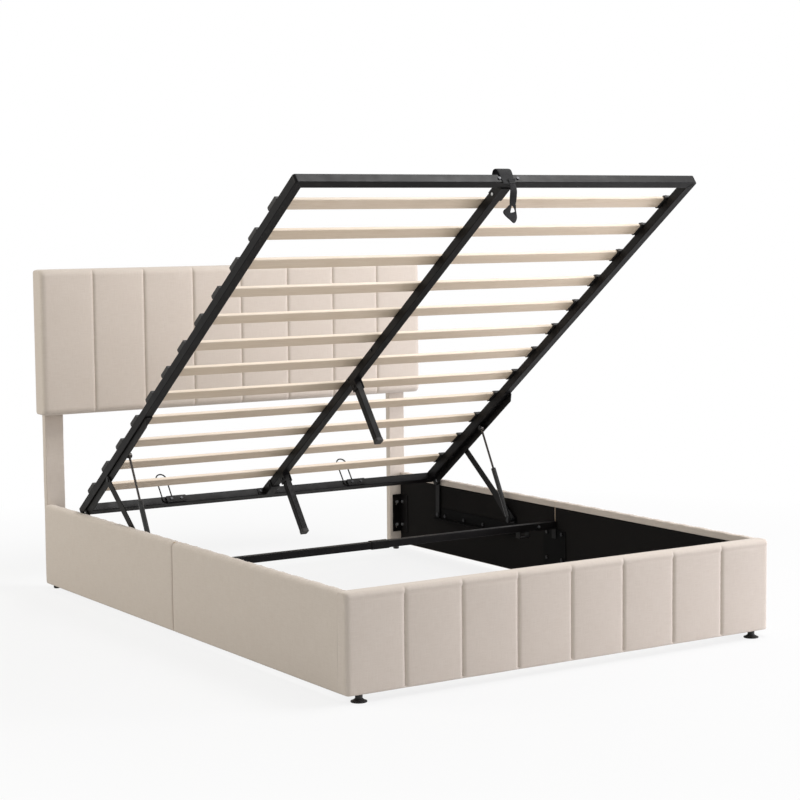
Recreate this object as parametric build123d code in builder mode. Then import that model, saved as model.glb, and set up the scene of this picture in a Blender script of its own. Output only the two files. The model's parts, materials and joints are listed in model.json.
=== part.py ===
from build123d import *
from math import asin, atan2, cos, degrees, radians, sin
import os

os.makedirs("parts", exist_ok=True)

# Ottoman storage bed, standing on the floor with its slatted platform lifted.
# X runs across the bed, +Y points to the headboard and +Z up.
# The origin lies on the floor, in the middle of the bed's outline.
# All lengths are in millimetres.

# Bed base
base_width = 1602
base_length = 2150
floor_gap = 24
panel_height = 296
board_thickness = 18
rail_pad = 12
lining_thickness = 1
cover_skin = 3
lining_border = 24
rail_top_radius = 10
rail_hem_radius = 6
rail_inner_radius = 3
seam_radius = 3

# Upholstered footboard
footboard_thickness = 48
top_roll = 30
roll_radius = 13
roll_seam_radius = 5
side_pad = 12

# Upholstered headboard and its legs
headboard_overhang = 22
headboard_rise = 336
headboard_height = 534
headboard_thickness = 77
headboard_radius = 25
headboard_back_radius = 8
headboard_board_inset = 10
headboard_board_radius = 20
leg_thickness = 28
leg_width = 74
leg_inset = 10
leg_lap = 344
leg_sleeve = 5
leg_radius = 4

# Sewn channels of both boards
channel_count = 8
channel_depth = 7
end_draw = 14

# Lifting mechanism: its pivots are placed from the rails' head ends and the floor
rear_pivot_setback = 287
rear_pivot_height = 179
front_pivot_height = 220
rear_link_length = 137.8
rear_link_angle = 90.7
deck_tilt = 36.26
deck_rest_height = 250
lift_pivot_rear = 39.5
lift_pivot_front = 281.75
lift_pivot_drop = 15
strut_pivot_reach = 450
strut_pivot_drop = 17

# Flat bars and pins of the mechanism, from the rails towards the middle
plate_thickness = 3
link_thickness = 4
base_gap = 3
lift_gap = 2
pivot_radius = 5
pivot_clearance = 0.05
pin_gap = 0.3
pin_head_radius = 8
pin_head_height = 2
link_radius = 13
heel_radius = 12
heel_reach = 24
heel_drop = 16
elbow_reach = 172
base_bar_foot = 160
base_bar_height = 45
base_bar_flange = 20
base_bar_margin = 28
ear_radius = 14
lift_bar_depth = 28
lift_bar_start = 15
lift_bar_length = 662
lift_bar_chamfer = 20
lift_bar_corner = 8

# Gas struts
strut_inset = 28
cylinder_radius = 9
cylinder_wall = 1.5
cylinder_base = 26
cylinder_seal = 6
neck_radius = 5
rod_radius = 4
rod_clearance = 0.05
piston_length = 8
piston_clearance = 0.1
strut_eye_radius = 9
strut_eye_width = 12
strut_stud_radius = 4
strut_closed_gap = 6.5

# Lifted platform
deck_side_gap = 6.5
deck_end_gap = 8
tube_size = 30
tube_wall = 1.5
tube_radius = 2
deck_corner = 9
beam_joint_reach = 900
joiner_length = 240
slat_count = 12
slat_width = 49
slat_thickness = 11
slat_radius = 3
slat_head_inset = 136
slat_foot_inset = 154
cap_wall = 1.5
cap_shoulder = 5
cap_length = 38
cap_setback = 0.5
cap_lug_length = 9
cap_lug_width = 4
cap_lug_height = 9

# Centre legs of the platform
centre_leg_size = 25
centre_leg_front = 824
centre_leg_rear = 176
centre_leg_radius = 3
leg_cap_height = 12
leg_cap_wall = 1
floor_clearance = 1
leg_socket_height = 34

# Brackets at the ends of the centre beam
wing_width = 90
wing_height = 26
wing_bolt_spread = 70
channel_length = 62
beam_bolt_reach = 76

# Wire loops that hold the mattress
retainer_spread = 782
retainer_offset = 34
retainer_width = 40
retainer_height = 125
retainer_wire = 5
retainer_bend = 8
retainer_plate_width = 80
retainer_plate_height = 26
retainer_bolt_spread = 40
retainer_arch_share = 0.48

# Webbing strap at the foot of the platform
strap_offset = 2
strap_width = 52
strap_thickness = 2.5
strap_lap = 27
strap_roll_radius = 6
strap_lip = 6
strap_tail_offset = 13
strap_tail_width = 24
strap_drop = 68
strap_loop_width = 56
strap_loop_height = 54

# Steel brackets of the base
bracket_thickness = 3
bracket_height = 154
bracket_foot = 75
bracket_reach = 55
leg_bracket_return = 40
keyhole_drop = 13
keyhole_tip_radius = 2.5
joint_plate_length = 134
joint_plate_height = 135
joint_plate_foot = 79
joint_plate_radius = 4
joint_gap = 156.5

# Cross bar between the rails
bar_size = 25
bar_rest_gap = 4
bar_radius = 2
bar_wall = 1.5
sleeve_wall = 2
sleeve_length = 70
bar_seat_length = 100
bar_seat_drop = 40
bar_bolt_inset = 84
hanger_inset = 148
hanger_width = 44
hanger_drop = 24

# Bolts and feet
bolt_radius = 4
bolt_head_radius = 7
bolt_head_height = 4
bolt_reach = 12
frame_bolt_radius = 3
frame_bolt_head_radius = 5.5
frame_bolt_head_height = 3
frame_bolt_reach = 6
bolt_clearance = 0.3
glide_radius = 24
glide_neck_radius = 11
glide_rim = 3
glide_dome = 8
glide_inset = 54
leg_glide_radius = 12
leg_glide_chamfer = 2
overrun = 2

# Places along and up the bed that follow from the sizes above
foot_y = -(base_length + leg_thickness) / 2
rail_head_y = foot_y + base_length
rail_foot_y = foot_y + footboard_thickness
panel_top = floor_gap + panel_height
panel_middle = floor_gap + panel_height / 2
headboard_foot = panel_top + headboard_rise
headboard_middle = headboard_foot + headboard_height / 2
headboard_front = rail_head_y - headboard_thickness
headboard_width = base_width + 2 * headboard_overhang
leg_top = headboard_foot + leg_lap
leg_y = rail_head_y + leg_thickness / 2

# Places across the bed, as distances from its middle
rail_outer = base_width / 2
leg_x = rail_outer - leg_inset - leg_width / 2
board_outer = rail_outer - rail_pad
board_inner = board_outer - board_thickness
rail_inner = board_inner - lining_thickness
plate_inner = rail_inner - bracket_thickness
base_web = rail_inner - plate_thickness
link_outer = base_web - base_gap
link_inner = link_outer - link_thickness
lift_outer = link_inner - lift_gap
lift_inner = lift_outer - plate_thickness
strut_x = rail_inner - strut_inset
deck_outer = rail_inner - deck_side_gap
deck_inner = deck_outer - tube_size


def polar(length, angle):
    """The step of this length at this angle above +Y, as (y, z)."""
    return Vector(length * cos(radians(angle)), length * sin(radians(angle)))


def tilted(reach, rise, tilt):
    """A step along the platform and square to it, turned from level to this tilt."""
    low = cos(radians(tilt))
    high = sin(radians(tilt))
    return Vector(reach * low + rise * high, rise * low - reach * high)


# Pivots of the linkage as (y, z): first the short rear link, then the platform that it lifts
rear_base = Vector(rail_head_y - rear_pivot_setback, rear_pivot_height)
rear_lift = rear_base + polar(rear_link_length, rear_link_angle)
deck_origin = rear_lift - tilted(-lift_pivot_rear, -lift_pivot_drop, deck_tilt)
front_lift = deck_origin + tilted(-lift_pivot_front, -lift_pivot_drop, deck_tilt)
strut_lift = deck_origin + tilted(-strut_pivot_reach, -strut_pivot_drop, deck_tilt)

# The same pivots when the platform lies level in the base
lowered_pivot_height = deck_rest_height - lift_pivot_drop
lowered_angle = degrees(asin((lowered_pivot_height - rear_pivot_height) / rear_link_length))
lowered_head = rear_base.X + polar(rear_link_length, lowered_angle).X + lift_pivot_rear
lowered_front = Vector(lowered_head - lift_pivot_front, lowered_pivot_height)
lowered_strut = Vector(lowered_head - strut_pivot_reach, deck_rest_height - strut_pivot_drop)

# The front link's lower pivot is equally far from the raised and the lowered upper pivot
front_rise = lowered_front - front_lift
front_middle = (lowered_front + front_lift) * 0.5
front_base = Vector(
    front_middle.X + (front_middle.Y - front_pivot_height) * front_rise.Y / front_rise.X,
    front_pivot_height,
)
front_reach = front_lift - front_base
front_angle = degrees(atan2(front_reach.Y, front_reach.X))

# The strut stands on the same pin as the front link
strut_reach = strut_lift - front_base
strut_length = strut_reach.length
strut_angle = degrees(atan2(strut_reach.Y, strut_reach.X))
strut_closed = (lowered_strut - front_base).length

# The platform fills the space between the footboard and its lowered head end
deck_length = lowered_head - rail_foot_y - deck_end_gap
deck = Plane(
    origin=(0, deck_origin.X, deck_origin.Y),
    x_dir=(1, 0, 0),
    z_dir=(0, sin(radians(deck_tilt)), cos(radians(deck_tilt))),
)


def deck_section(reach):
    """The plane square to the platform's length, this far from its head end."""
    origin = deck.from_local_coords(Vector(0, -reach, 0))
    return Plane(origin=origin, x_dir=(1, 0, 0), z_dir=-deck.y_dir)


def deck_side(place):
    """The plane across X at this place, with the platform's length and thickness as its axes."""
    origin = deck.from_local_coords(Vector(place, 0, 0))
    return Plane(origin=origin, x_dir=deck.y_dir, z_dir=(1, 0, 0))


def deck_left(place):
    """The plane across X at this place that looks left; its axes are the reach and the rise."""
    origin = deck.from_local_coords(Vector(place, 0, 0))
    return Plane(origin=origin, x_dir=-deck.y_dir, z_dir=(-1, 0, 0))


def deck_under(drop):
    """The plane this far below the platform that looks down; its axes are X and the reach."""
    origin = deck.from_local_coords(Vector(0, 0, -drop))
    return Plane(origin=origin, x_dir=(1, 0, 0), z_dir=-deck.z_dir)


def side_plane(side, reach):
    """The plane across X on one side of the bed, with Y and Z as its axes."""
    return Plane.YZ.offset(side * reach)


def side_name(side):
    """The name of the side of the bed that -1 or 1 stands for, seen from its foot."""
    return "left" if side < 0 else "right"


def save(piece, name):
    """Label a finished piece and write it to its own file."""
    piece.label = name
    export_step(piece, "parts/" + name + ".step")


def rods(plane, places, radius, length):
    """Round rods on a plane, which serve as shanks, pins and holes."""
    with BuildPart() as group:
        with BuildSketch(plane):
            with Locations(*places):
                Circle(radius)
        extrude(amount=length)
    return group.part


def bolts(plane, places, lift, reach, small=False):
    """Hex bolts with their heads this far above a plane and their shanks this far below it."""
    head_radius = frame_bolt_head_radius if small else bolt_head_radius
    head_height = frame_bolt_head_height if small else bolt_head_height
    with BuildPart() as group:
        with BuildSketch(plane.offset(lift)):
            with Locations(*places):
                RegularPolygon(head_radius, side_count=6)
        extrude(amount=head_height)
        with BuildSketch(plane.offset(lift)):
            with Locations(*places):
                Circle(frame_bolt_radius if small else bolt_radius)
        extrude(amount=-(lift + reach))
    return group.part


def place(vector):
    """A (y, z) vector as the pair that Locations takes."""
    return (vector.X, vector.Y)


def facing(side):
    """The inner face of a rail as a plane that looks towards the middle of the bed."""
    return Plane(origin=(side * rail_inner, 0, 0), x_dir=(0, -side, 0), z_dir=(-side, 0, 0))


def on_face(side, places):
    """Places given as (y, z), turned to the axes of the rail's inner face."""
    return [(-side * y, z) for y, z in places]


# Places of the bolts on the inner faces of the rails, as (y, z)
bracket_bolt_shares = (0.19, 0.8)
leg_bolt_share = 0.58
joint_bolt_shares = (0.19, 0.9)
joint_bolt_spread_share = 0.67
base_bar_bolt_shares = (0.18, 0.41, 0.64, 0.87)
bracket_heights = [bracket_foot + share * bracket_height for share in bracket_bolt_shares]
joint_heights = [joint_plate_foot + share * joint_plate_height for share in joint_bolt_shares]
joint_step = joint_bolt_spread_share * joint_plate_length / 2
leg_bracket_bolts = [(rail_head_y - bracket_reach / 3, z) for z in bracket_heights]
foot_bracket_bolts = [(rail_foot_y + bracket_reach / 2, z) for z in bracket_heights]
base_bar_front = front_base.X - base_bar_margin
base_bar_back = rear_base.X + base_bar_margin
base_bar_length = base_bar_back - base_bar_front
seam_y = base_bar_front - joint_gap - joint_plate_length / 2
joint_bolts = [(seam_y + step, z) for step in (-joint_step, joint_step) for z in joint_heights]
base_bar_bolts = [
    (base_bar_front + share * base_bar_length, base_bar_foot + base_bar_height / 3)
    for share in base_bar_bolt_shares
]
bracket_bolts = leg_bracket_bolts + foot_bracket_bolts + joint_bolts
rail_bolts = bracket_bolts + base_bar_bolts
panel_bolt_x = rail_inner - bracket_reach / 2
leg_bolt_x = rail_inner - leg_bolt_share * leg_bracket_return


def rail_strip(side, span, outer, inner, low, high):
    """A straight upright strip of a rail, with the bolt holes that fall in its span."""
    middle = ((outer + inner) / 2, (low + high) / 2)
    within = [(y, z) for y, z in rail_bolts if span[0] < y < span[1]]
    holes = rods(
        facing(side), on_face(side, within), bolt_radius + bolt_clearance, -(bolt_reach + overrun)
    )
    with BuildPart() as strip:
        with BuildSketch(Plane.XZ.offset(-span[1])):
            with Locations((side * middle[0], middle[1])):
                Rectangle(outer - inner, high - low)
        extrude(amount=span[1] - span[0])
        add(holes, mode=Mode.SUBTRACT)
    return strip.part


def rail_cover(side, span):
    """Foam and fabric round a rail board, turned in over the lining's edges."""
    with BuildPart() as cover:
        with BuildSketch(Plane.XZ.offset(-span[1])):
            with Locations((side * (rail_outer + rail_inner) / 2, panel_middle)):
                Rectangle(rail_outer - rail_inner, panel_height)
        extrude(amount=span[1] - span[0])
        lengthwise = cover.edges().filter_by(Axis.Y)
        outer_pair = lengthwise.filter_by(lambda edge: abs(edge.center().X) > board_outer)
        inner_pair = lengthwise.filter_by(lambda edge: abs(edge.center().X) < board_inner)
        fillet(outer_pair.sort_by(Axis.Z)[-1], radius=rail_top_radius)
        fillet(outer_pair.sort_by(Axis.Z)[0], radius=rail_hem_radius)
        fillet(inner_pair.sort_by(Axis.Z)[-1], radius=rail_inner_radius)
        uprights = cover.edges().filter_by(Axis.Z).filter_by(
            lambda edge: abs(edge.center().X) > board_outer
        )
        fillet(uprights.sort_by_distance((0, seam_y, panel_middle))[0], radius=seam_radius)
        with BuildSketch(Plane.XZ.offset(-span[1])):
            with Locations((side * (board_outer + board_inner) / 2, panel_middle)):
                Rectangle(board_thickness, panel_height - 2 * cover_skin)
            with Locations((side * (board_inner + rail_inner) / 2, panel_middle)):
                Rectangle(lining_thickness, panel_height - 2 * lining_border)
        extrude(amount=span[1] - span[0], mode=Mode.SUBTRACT)
    return cover.part


# Side rails, each in two halves that meet at the seam
spans = (("front", (rail_foot_y, seam_y)), ("rear", (seam_y, rail_head_y)))
with BuildPart() as rail_linings:
    for side in (-1, 1):
        for half, span in spans:
            add(rail_strip(
                side, span, board_inner, rail_inner,
                floor_gap + lining_border, panel_top - lining_border,
            ))
save(rail_linings.part, "rail_linings")

for side in (-1, 1):
    for half, span in spans:
        board = rail_strip(
            side, span, board_outer, board_inner, floor_gap + cover_skin, panel_top - cover_skin
        )
        save(board, "rail_board_" + side_name(side) + "_" + half)
        save(rail_cover(side, span), "rail_cover_" + side_name(side) + "_" + half)


def channelled_pad(width, front, back, bottom, height, back_radius=0):
    """A pad whose plan is a row of crowned channels, drawn in at both ends."""
    step = width / channel_count
    with BuildPart() as pad:
        with BuildSketch(Plane.XY.offset(bottom)):
            with BuildLine():
                for index in range(channel_count):
                    left = index * step - width / 2
                    first = end_draw if index == 0 else channel_depth
                    last = end_draw if index == channel_count - 1 else channel_depth
                    ThreePointArc(
                        (left, front + first), (left + step / 2, front), (left + step, front + last)
                    )
                Polyline(
                    (width / 2, front + end_draw),
                    (width / 2, back),
                    (-width / 2, back),
                    (-width / 2, front + end_draw),
                )
            make_face()
            if back_radius:
                fillet(vertices().group_by(Axis.Y)[-1], radius=back_radius)
        extrude(amount=height)
    return pad.part


def soft_profile(width, front, back, rolls, radii):
    """A block across the bed whose profile is a stack of rolls with rounded front edges."""
    with BuildPart() as block:
        for low, high in rolls:
            with BuildSketch(Plane.YZ.offset(-width / 2)):
                with Locations(((front + back) / 2, (low + high) / 2)):
                    Rectangle(back - front, high - low)
                corners = vertices().group_by(Axis.Y)[0].sort_by(Axis.Z)
                fillet(corners[0], radius=radii[low])
                fillet(corners[-1], radius=radii[high])
            extrude(amount=width)
    return block.part


# Headboard: a board inside a channelled cushion, closed behind by a backing cloth
headboard_board_back = rail_head_y - lining_thickness
headboard_radii = {
    headboard_foot: headboard_radius,
    headboard_foot + headboard_height: headboard_radius,
}
with BuildPart() as headboard_panel:
    with BuildSketch(Plane.XZ.offset(-headboard_board_back)):
        with Locations((0, headboard_middle)):
            RectangleRounded(
                headboard_width - 2 * headboard_board_inset,
                headboard_height - 2 * headboard_board_inset,
                headboard_board_radius,
            )
    extrude(amount=board_thickness)
save(headboard_panel.part, "headboard_panel")

with BuildPart() as headboard_backing:
    with BuildSketch(Plane.XZ.offset(-rail_head_y)):
        with Locations((0, headboard_middle)):
            Rectangle(headboard_width - 2 * lining_border, headboard_height - 2 * lining_border)
    extrude(amount=lining_thickness)
save(headboard_backing.part, "headboard_backing")

with BuildPart() as headboard_cover:
    add(channelled_pad(
        headboard_width, headboard_front, rail_head_y, headboard_foot, headboard_height,
        headboard_back_radius,
    ))
    add(soft_profile(
        headboard_width, headboard_front, rail_head_y,
        [(headboard_foot, headboard_foot + headboard_height)], headboard_radii,
    ), mode=Mode.INTERSECT)
    back_edges = headboard_cover.faces().sort_by(Axis.Y)[-1].edges().filter_by(Axis.X)
    fillet(back_edges, radius=headboard_back_radius)
    add(headboard_panel.part, mode=Mode.SUBTRACT)
    add(headboard_backing.part, mode=Mode.SUBTRACT)
save(headboard_cover.part, "headboard_cover")

# Headboard legs: wooden posts in fabric sleeves, behind the headboard
leg_face = Plane(origin=(0, rail_head_y, 0), x_dir=(1, 0, 0), z_dir=(0, -1, 0))
leg_face_bolts = [(side * leg_bolt_x, z) for side in (-1, 1) for z in bracket_heights]
leg_face_holes = rods(
    leg_face, leg_face_bolts, bolt_radius + bolt_clearance, -(bolt_reach + overrun)
)
for side in (-1, 1):
    with BuildPart() as leg:
        with BuildSketch(Plane.XY.offset(floor_gap + leg_sleeve)):
            with Locations((side * leg_x, leg_y)):
                Rectangle(leg_width - 2 * leg_sleeve, leg_thickness - 2 * leg_sleeve)
        extrude(amount=leg_top - floor_gap - 2 * leg_sleeve)
    with BuildPart() as leg_cover:
        with BuildSketch(Plane.XY.offset(floor_gap)):
            with Locations((side * leg_x, leg_y)):
                RectangleRounded(leg_width, leg_thickness, leg_radius)
        extrude(amount=leg_top - floor_gap)
        add(leg.part, mode=Mode.SUBTRACT)
        add(leg_face_holes, mode=Mode.SUBTRACT)
    save(leg_cover.part, "leg_cover_" + side_name(side))
    with leg:
        add(leg_face_holes, mode=Mode.SUBTRACT)
    save(leg.part, "headboard_leg_" + side_name(side))

# Footboard: a board behind eight channels and a plain roll along the top
footboard_board_back = rail_foot_y - lining_thickness
roll_foot = panel_top - top_roll
panel_bolts = [(side * panel_bolt_x, z) for side in (-1, 1) for z in bracket_heights]
panel_face = Plane(origin=(0, rail_foot_y, 0), x_dir=(-1, 0, 0), z_dir=(0, 1, 0))
panel_holes = rods(
    panel_face, panel_bolts, bolt_radius + bolt_clearance, -(bolt_reach + overrun)
)
with BuildPart() as footboard_panel:
    with BuildSketch(Plane.XZ.offset(-footboard_board_back)):
        with Locations((0, panel_middle)):
            Rectangle(base_width - 2 * side_pad, panel_height - 2 * cover_skin)
    extrude(amount=board_thickness)
    add(panel_holes, mode=Mode.SUBTRACT)
save(footboard_panel.part, "footboard_panel")

with BuildPart() as footboard_lining:
    with BuildSketch(Plane.XZ.offset(-rail_foot_y)):
        with Locations((0, panel_middle)):
            Rectangle(2 * rail_inner, panel_height - 2 * lining_border)
    extrude(amount=lining_thickness)
    add(panel_holes, mode=Mode.SUBTRACT)
save(footboard_lining.part, "footboard_lining")

footboard_radii = {
    floor_gap: rail_hem_radius, roll_foot: roll_seam_radius, panel_top: roll_radius
}
with BuildPart() as footboard_cover:
    add(channelled_pad(base_width, foot_y, rail_foot_y, floor_gap, panel_height - top_roll))
    with BuildSketch(Plane.XY.offset(roll_foot)):
        with Locations((0, (foot_y + rail_foot_y) / 2)):
            Rectangle(base_width, footboard_thickness)
        fillet(vertices().group_by(Axis.Y)[0], radius=roll_radius)
    extrude(amount=top_roll)
    add(soft_profile(
        base_width, foot_y, rail_foot_y, [(floor_gap, roll_foot), (roll_foot, panel_top)],
        footboard_radii,
    ), mode=Mode.INTERSECT)
    with BuildSketch(Plane.XZ.offset(-footboard_board_back)):
        with Locations((0, panel_middle)):
            Rectangle(base_width - 2 * side_pad, panel_height - 2 * cover_skin)
    extrude(amount=board_thickness, mode=Mode.SUBTRACT)
    with BuildSketch(Plane.XZ.offset(-rail_foot_y)):
        with Locations((0, panel_middle)):
            Rectangle(2 * rail_inner, panel_height - 2 * lining_border)
    extrude(amount=lining_thickness, mode=Mode.SUBTRACT)
save(footboard_cover.part, "footboard_cover")


def corner_bracket(side, corner_y, towards, return_length):
    """An upright angle in the corner between a rail and the panel or leg at its end."""
    wing_y = corner_y + towards * bracket_reach
    with BuildPart() as bracket:
        with BuildSketch(Plane.XY.offset(bracket_foot)):
            with Locations((side * (rail_inner + plate_inner) / 2, (corner_y + wing_y) / 2)):
                Rectangle(bracket_thickness, bracket_reach)
            with Locations(
                (side * (rail_inner - return_length / 2), corner_y + towards * bracket_thickness / 2)
            ):
                Rectangle(return_length, bracket_thickness)
        extrude(amount=bracket_height)
    return bracket.part


def rail_holes(side, places):
    """Holes for these bolts through a plate on the inner face of a rail."""
    return rods(
        facing(side), on_face(side, places), bolt_radius + bolt_clearance, plate_thickness + overrun
    )


# Angles that join the rails to the headboard legs, with keyholes, and to the footboard
with BuildPart() as leg_brackets:
    for side in (-1, 1):
        add(corner_bracket(side, rail_head_y, -1, leg_bracket_return))
        add(rail_holes(side, leg_bracket_bolts), mode=Mode.SUBTRACT)
    for x, z in leg_face_bolts:
        with BuildSketch(leg_face):
            with Locations((x, z)):
                Circle(bolt_radius + bolt_clearance)
            with Locations((x, z - keyhole_drop)):
                Circle(keyhole_tip_radius)
            make_hull()
        extrude(amount=bracket_thickness, mode=Mode.SUBTRACT)
save(leg_brackets.part, "leg_brackets")

with BuildPart() as footboard_brackets:
    for side in (-1, 1):
        add(corner_bracket(side, rail_foot_y, 1, bracket_reach))
        add(rail_holes(side, foot_bracket_bolts), mode=Mode.SUBTRACT)
    add(rods(
        panel_face, panel_bolts, bolt_radius + bolt_clearance, bracket_thickness + overrun
    ), mode=Mode.SUBTRACT)
save(footboard_brackets.part, "footboard_brackets")

# Plates that join the two halves of each rail
with BuildPart() as rail_joint_plates:
    for side in (-1, 1):
        with BuildSketch(side_plane(side, plate_inner)):
            with Locations((seam_y, joint_plate_foot + joint_plate_height / 2)):
                RectangleRounded(joint_plate_length, joint_plate_height, joint_plate_radius)
        extrude(amount=side * bracket_thickness)
        add(rail_holes(side, joint_bolts), mode=Mode.SUBTRACT)
save(rail_joint_plates.part, "rail_joint_plates")

# Cross bar: two tubes that meet in a sleeve, just under the lowered platform
bar_top = deck_rest_height - bar_rest_gap
bar_middle = bar_top - bar_size / 2
bar_bottom = bar_top - bar_size
bar_bolt_x = rail_inner - bar_bolt_inset
for side in (-1, 1):
    with BuildPart() as cross_bar:
        with BuildSketch(Plane.YZ):
            with Locations((seam_y, bar_middle)):
                RectangleRounded(bar_size, bar_size, bar_radius)
                Rectangle(bar_size - 2 * bar_wall, bar_size - 2 * bar_wall, mode=Mode.SUBTRACT)
        extrude(amount=side * rail_inner)
        add(rods(
            Plane.XZ.offset(bar_size / 2 - seam_y), [(side * bar_bolt_x, bar_middle)],
            frame_bolt_radius + bolt_clearance, -frame_bolt_reach,
        ), mode=Mode.SUBTRACT)
    save(cross_bar.part, "cross_bar_" + side_name(side))

with BuildPart() as cross_bar_sleeve:
    with BuildSketch(Plane.YZ.offset(-sleeve_length / 2)):
        with Locations((seam_y, bar_middle)):
            RectangleRounded(
                bar_size + 2 * sleeve_wall, bar_size + 2 * sleeve_wall, bar_radius + sleeve_wall
            )
            RectangleRounded(bar_size, bar_size, bar_radius, mode=Mode.SUBTRACT)
    extrude(amount=sleeve_length)
save(cross_bar_sleeve.part, "cross_bar_sleeve")

# Angles that carry the cross bar on the joint plates, and the hangers below it
with BuildPart() as cross_bar_brackets:
    for side in (-1, 1):
        with BuildSketch(Plane.XY.offset(bar_bottom)):
            with Locations((side * (rail_inner - bar_seat_length / 2), seam_y)):
                Rectangle(bar_seat_length, bar_size)
        extrude(amount=-bracket_thickness)
        with BuildSketch(side_plane(side, plate_inner)):
            with Locations((seam_y, bar_bottom - bar_seat_drop / 2)):
                Rectangle(bar_size, bar_seat_drop)
        extrude(amount=-side * bracket_thickness)
        with BuildSketch(Plane.XZ.offset(bar_size / 2 - seam_y)):
            with Locations((side * (rail_inner - hanger_inset), bar_bottom - hanger_drop / 2)):
                Rectangle(hanger_width, hanger_drop)
                Rectangle(
                    hanger_width - 2 * bracket_thickness, hanger_drop - 2 * bracket_thickness,
                    mode=Mode.SUBTRACT,
                )
        extrude(amount=-bar_size)
save(cross_bar_brackets.part, "cross_bar_brackets")

# Bolts of the bed base
bar_face = Plane.XZ.offset(bar_size / 2 - seam_y)
bar_bolt_places = [(-bar_bolt_x, bar_middle), (bar_bolt_x, bar_middle)]
with BuildPart() as base_bolts:
    for side in (-1, 1):
        add(bolts(facing(side), on_face(side, bracket_bolts), bracket_thickness, bolt_reach))
        add(bolts(facing(side), on_face(side, base_bar_bolts), plate_thickness, bolt_reach))
    add(bolts(panel_face, panel_bolts, bracket_thickness, bolt_reach))
    add(bolts(leg_face, leg_face_bolts, bracket_thickness, bolt_reach))
    add(bolts(bar_face, bar_bolt_places, 0, frame_bolt_reach, small=True))
save(base_bolts.part, "base_bolts")

# Feet: broad levelling glides under the footboard, plain ones under the headboard legs
with BuildPart() as glide:
    with BuildSketch(Plane.XZ):
        with BuildLine():
            Line((0, 0), (glide_radius, 0))
            Line((glide_radius, 0), (glide_radius, glide_rim))
            ThreePointArc(
                (glide_radius, glide_rim),
                ((glide_radius + glide_neck_radius) / 2, glide_rim + glide_dome / 3),
                (glide_neck_radius, glide_rim + glide_dome),
            )
            Line((glide_neck_radius, glide_rim + glide_dome), (glide_neck_radius, floor_gap))
            Line((glide_neck_radius, floor_gap), (0, floor_gap))
            Line((0, floor_gap), (0, 0))
        make_face()
    revolve(axis=Axis.Z)
glide_y = (foot_y + rail_foot_y) / 2
with BuildPart() as glides:
    with Locations(*[(side * (rail_outer - glide_inset), glide_y, 0) for side in (-1, 1)]):
        add(glide.part)
    with BuildSketch(Plane.XY):
        with Locations(*[(side * leg_x, leg_y) for side in (-1, 1)]):
            Circle(leg_glide_radius)
    extrude(amount=floor_gap)
    rims = glides.edges().filter_by(GeomType.CIRCLE).group_by(Axis.Z)[0]
    chamfer(rims.filter_by(lambda rim: rim.center().Y > 0), length=leg_glide_chamfer)
save(glides.part, "glides")


def flat_bar(side, outer, thickness, circles):
    """A flat bar across X whose outline is the hull of circles given as (place, radius)."""
    with BuildPart() as bar:
        with BuildSketch(side_plane(side, outer)):
            for centre, radius in circles:
                with Locations(place(centre)):
                    Circle(radius)
            make_hull()
        extrude(amount=-side * thickness)
    return bar.part


def pin(side, centre, outer, inner, radius):
    """A round pin across X between two distances from the middle of the bed."""
    return rods(side_plane(side, outer), [place(centre)], radius, side * (inner - outer))


# Base bars: angles along the rails, each with a raised ear for the front pin
ear_foot = Vector(front_base.X, base_bar_foot + base_bar_height / 2)
for side in (-1, 1):
    with BuildPart() as base_bar:
        with BuildSketch(side_plane(side, rail_inner)):
            with Locations(
                ((base_bar_front + base_bar_back) / 2, base_bar_foot + base_bar_height / 2)
            ):
                RectangleRounded(base_bar_length, base_bar_height, bar_radius)
        extrude(amount=-side * plate_thickness)
        add(flat_bar(
            side, rail_inner, plate_thickness,
            [(front_base, ear_radius), (ear_foot, base_bar_height / 2)],
        ))
        with BuildSketch(Plane.XY.offset(base_bar_foot)):
            with Locations(
                (side * (rail_inner - base_bar_flange / 2), (base_bar_front + base_bar_back) / 2)
            ):
                Rectangle(base_bar_flange, base_bar_length - 2 * bar_radius)
        extrude(amount=plate_thickness)
        add(rail_holes(side, base_bar_bolts), mode=Mode.SUBTRACT)
        for pivot in (rear_base, front_base):
            add(pin(side, pivot, rail_inner, base_web, pivot_radius), mode=Mode.SUBTRACT)
    save(base_bar.part, "base_bar_" + side_name(side))

# Pins that the base bars carry; the front ones go on through the eyes of the gas struts
link_head = link_inner - pin_gap
strut_face = strut_x + strut_eye_width / 2
strut_back = strut_x - strut_eye_width / 2
with BuildPart() as base_pivot_pins:
    for side in (-1, 1):
        add(pin(side, rear_base, rail_inner, link_head, pivot_radius))
        add(pin(side, rear_base, link_head, link_head - pin_head_height, pin_head_radius))
        add(pin(side, front_base, rail_inner, strut_back - pin_gap, pivot_radius))
        add(pin(side, front_base, link_head, strut_face + pin_gap, pin_head_radius))
        add(pin(
            side, front_base, strut_back - pin_gap, strut_back - pin_gap - pin_head_height,
            pin_head_radius,
        ))
save(base_pivot_pins.part, "base_pivot_pins")

# Rear links: short flat bars
for side in (-1, 1):
    with BuildPart() as rear_link:
        add(flat_bar(
            side, link_outer, link_thickness, [(rear_base, link_radius), (rear_lift, link_radius)]
        ))
        for pivot in (rear_base, rear_lift):
            add(pin(
                side, pivot, link_outer, link_inner, pivot_radius + pivot_clearance
            ), mode=Mode.SUBTRACT)
    save(rear_link.part, "rear_link_" + side_name(side))

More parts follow.
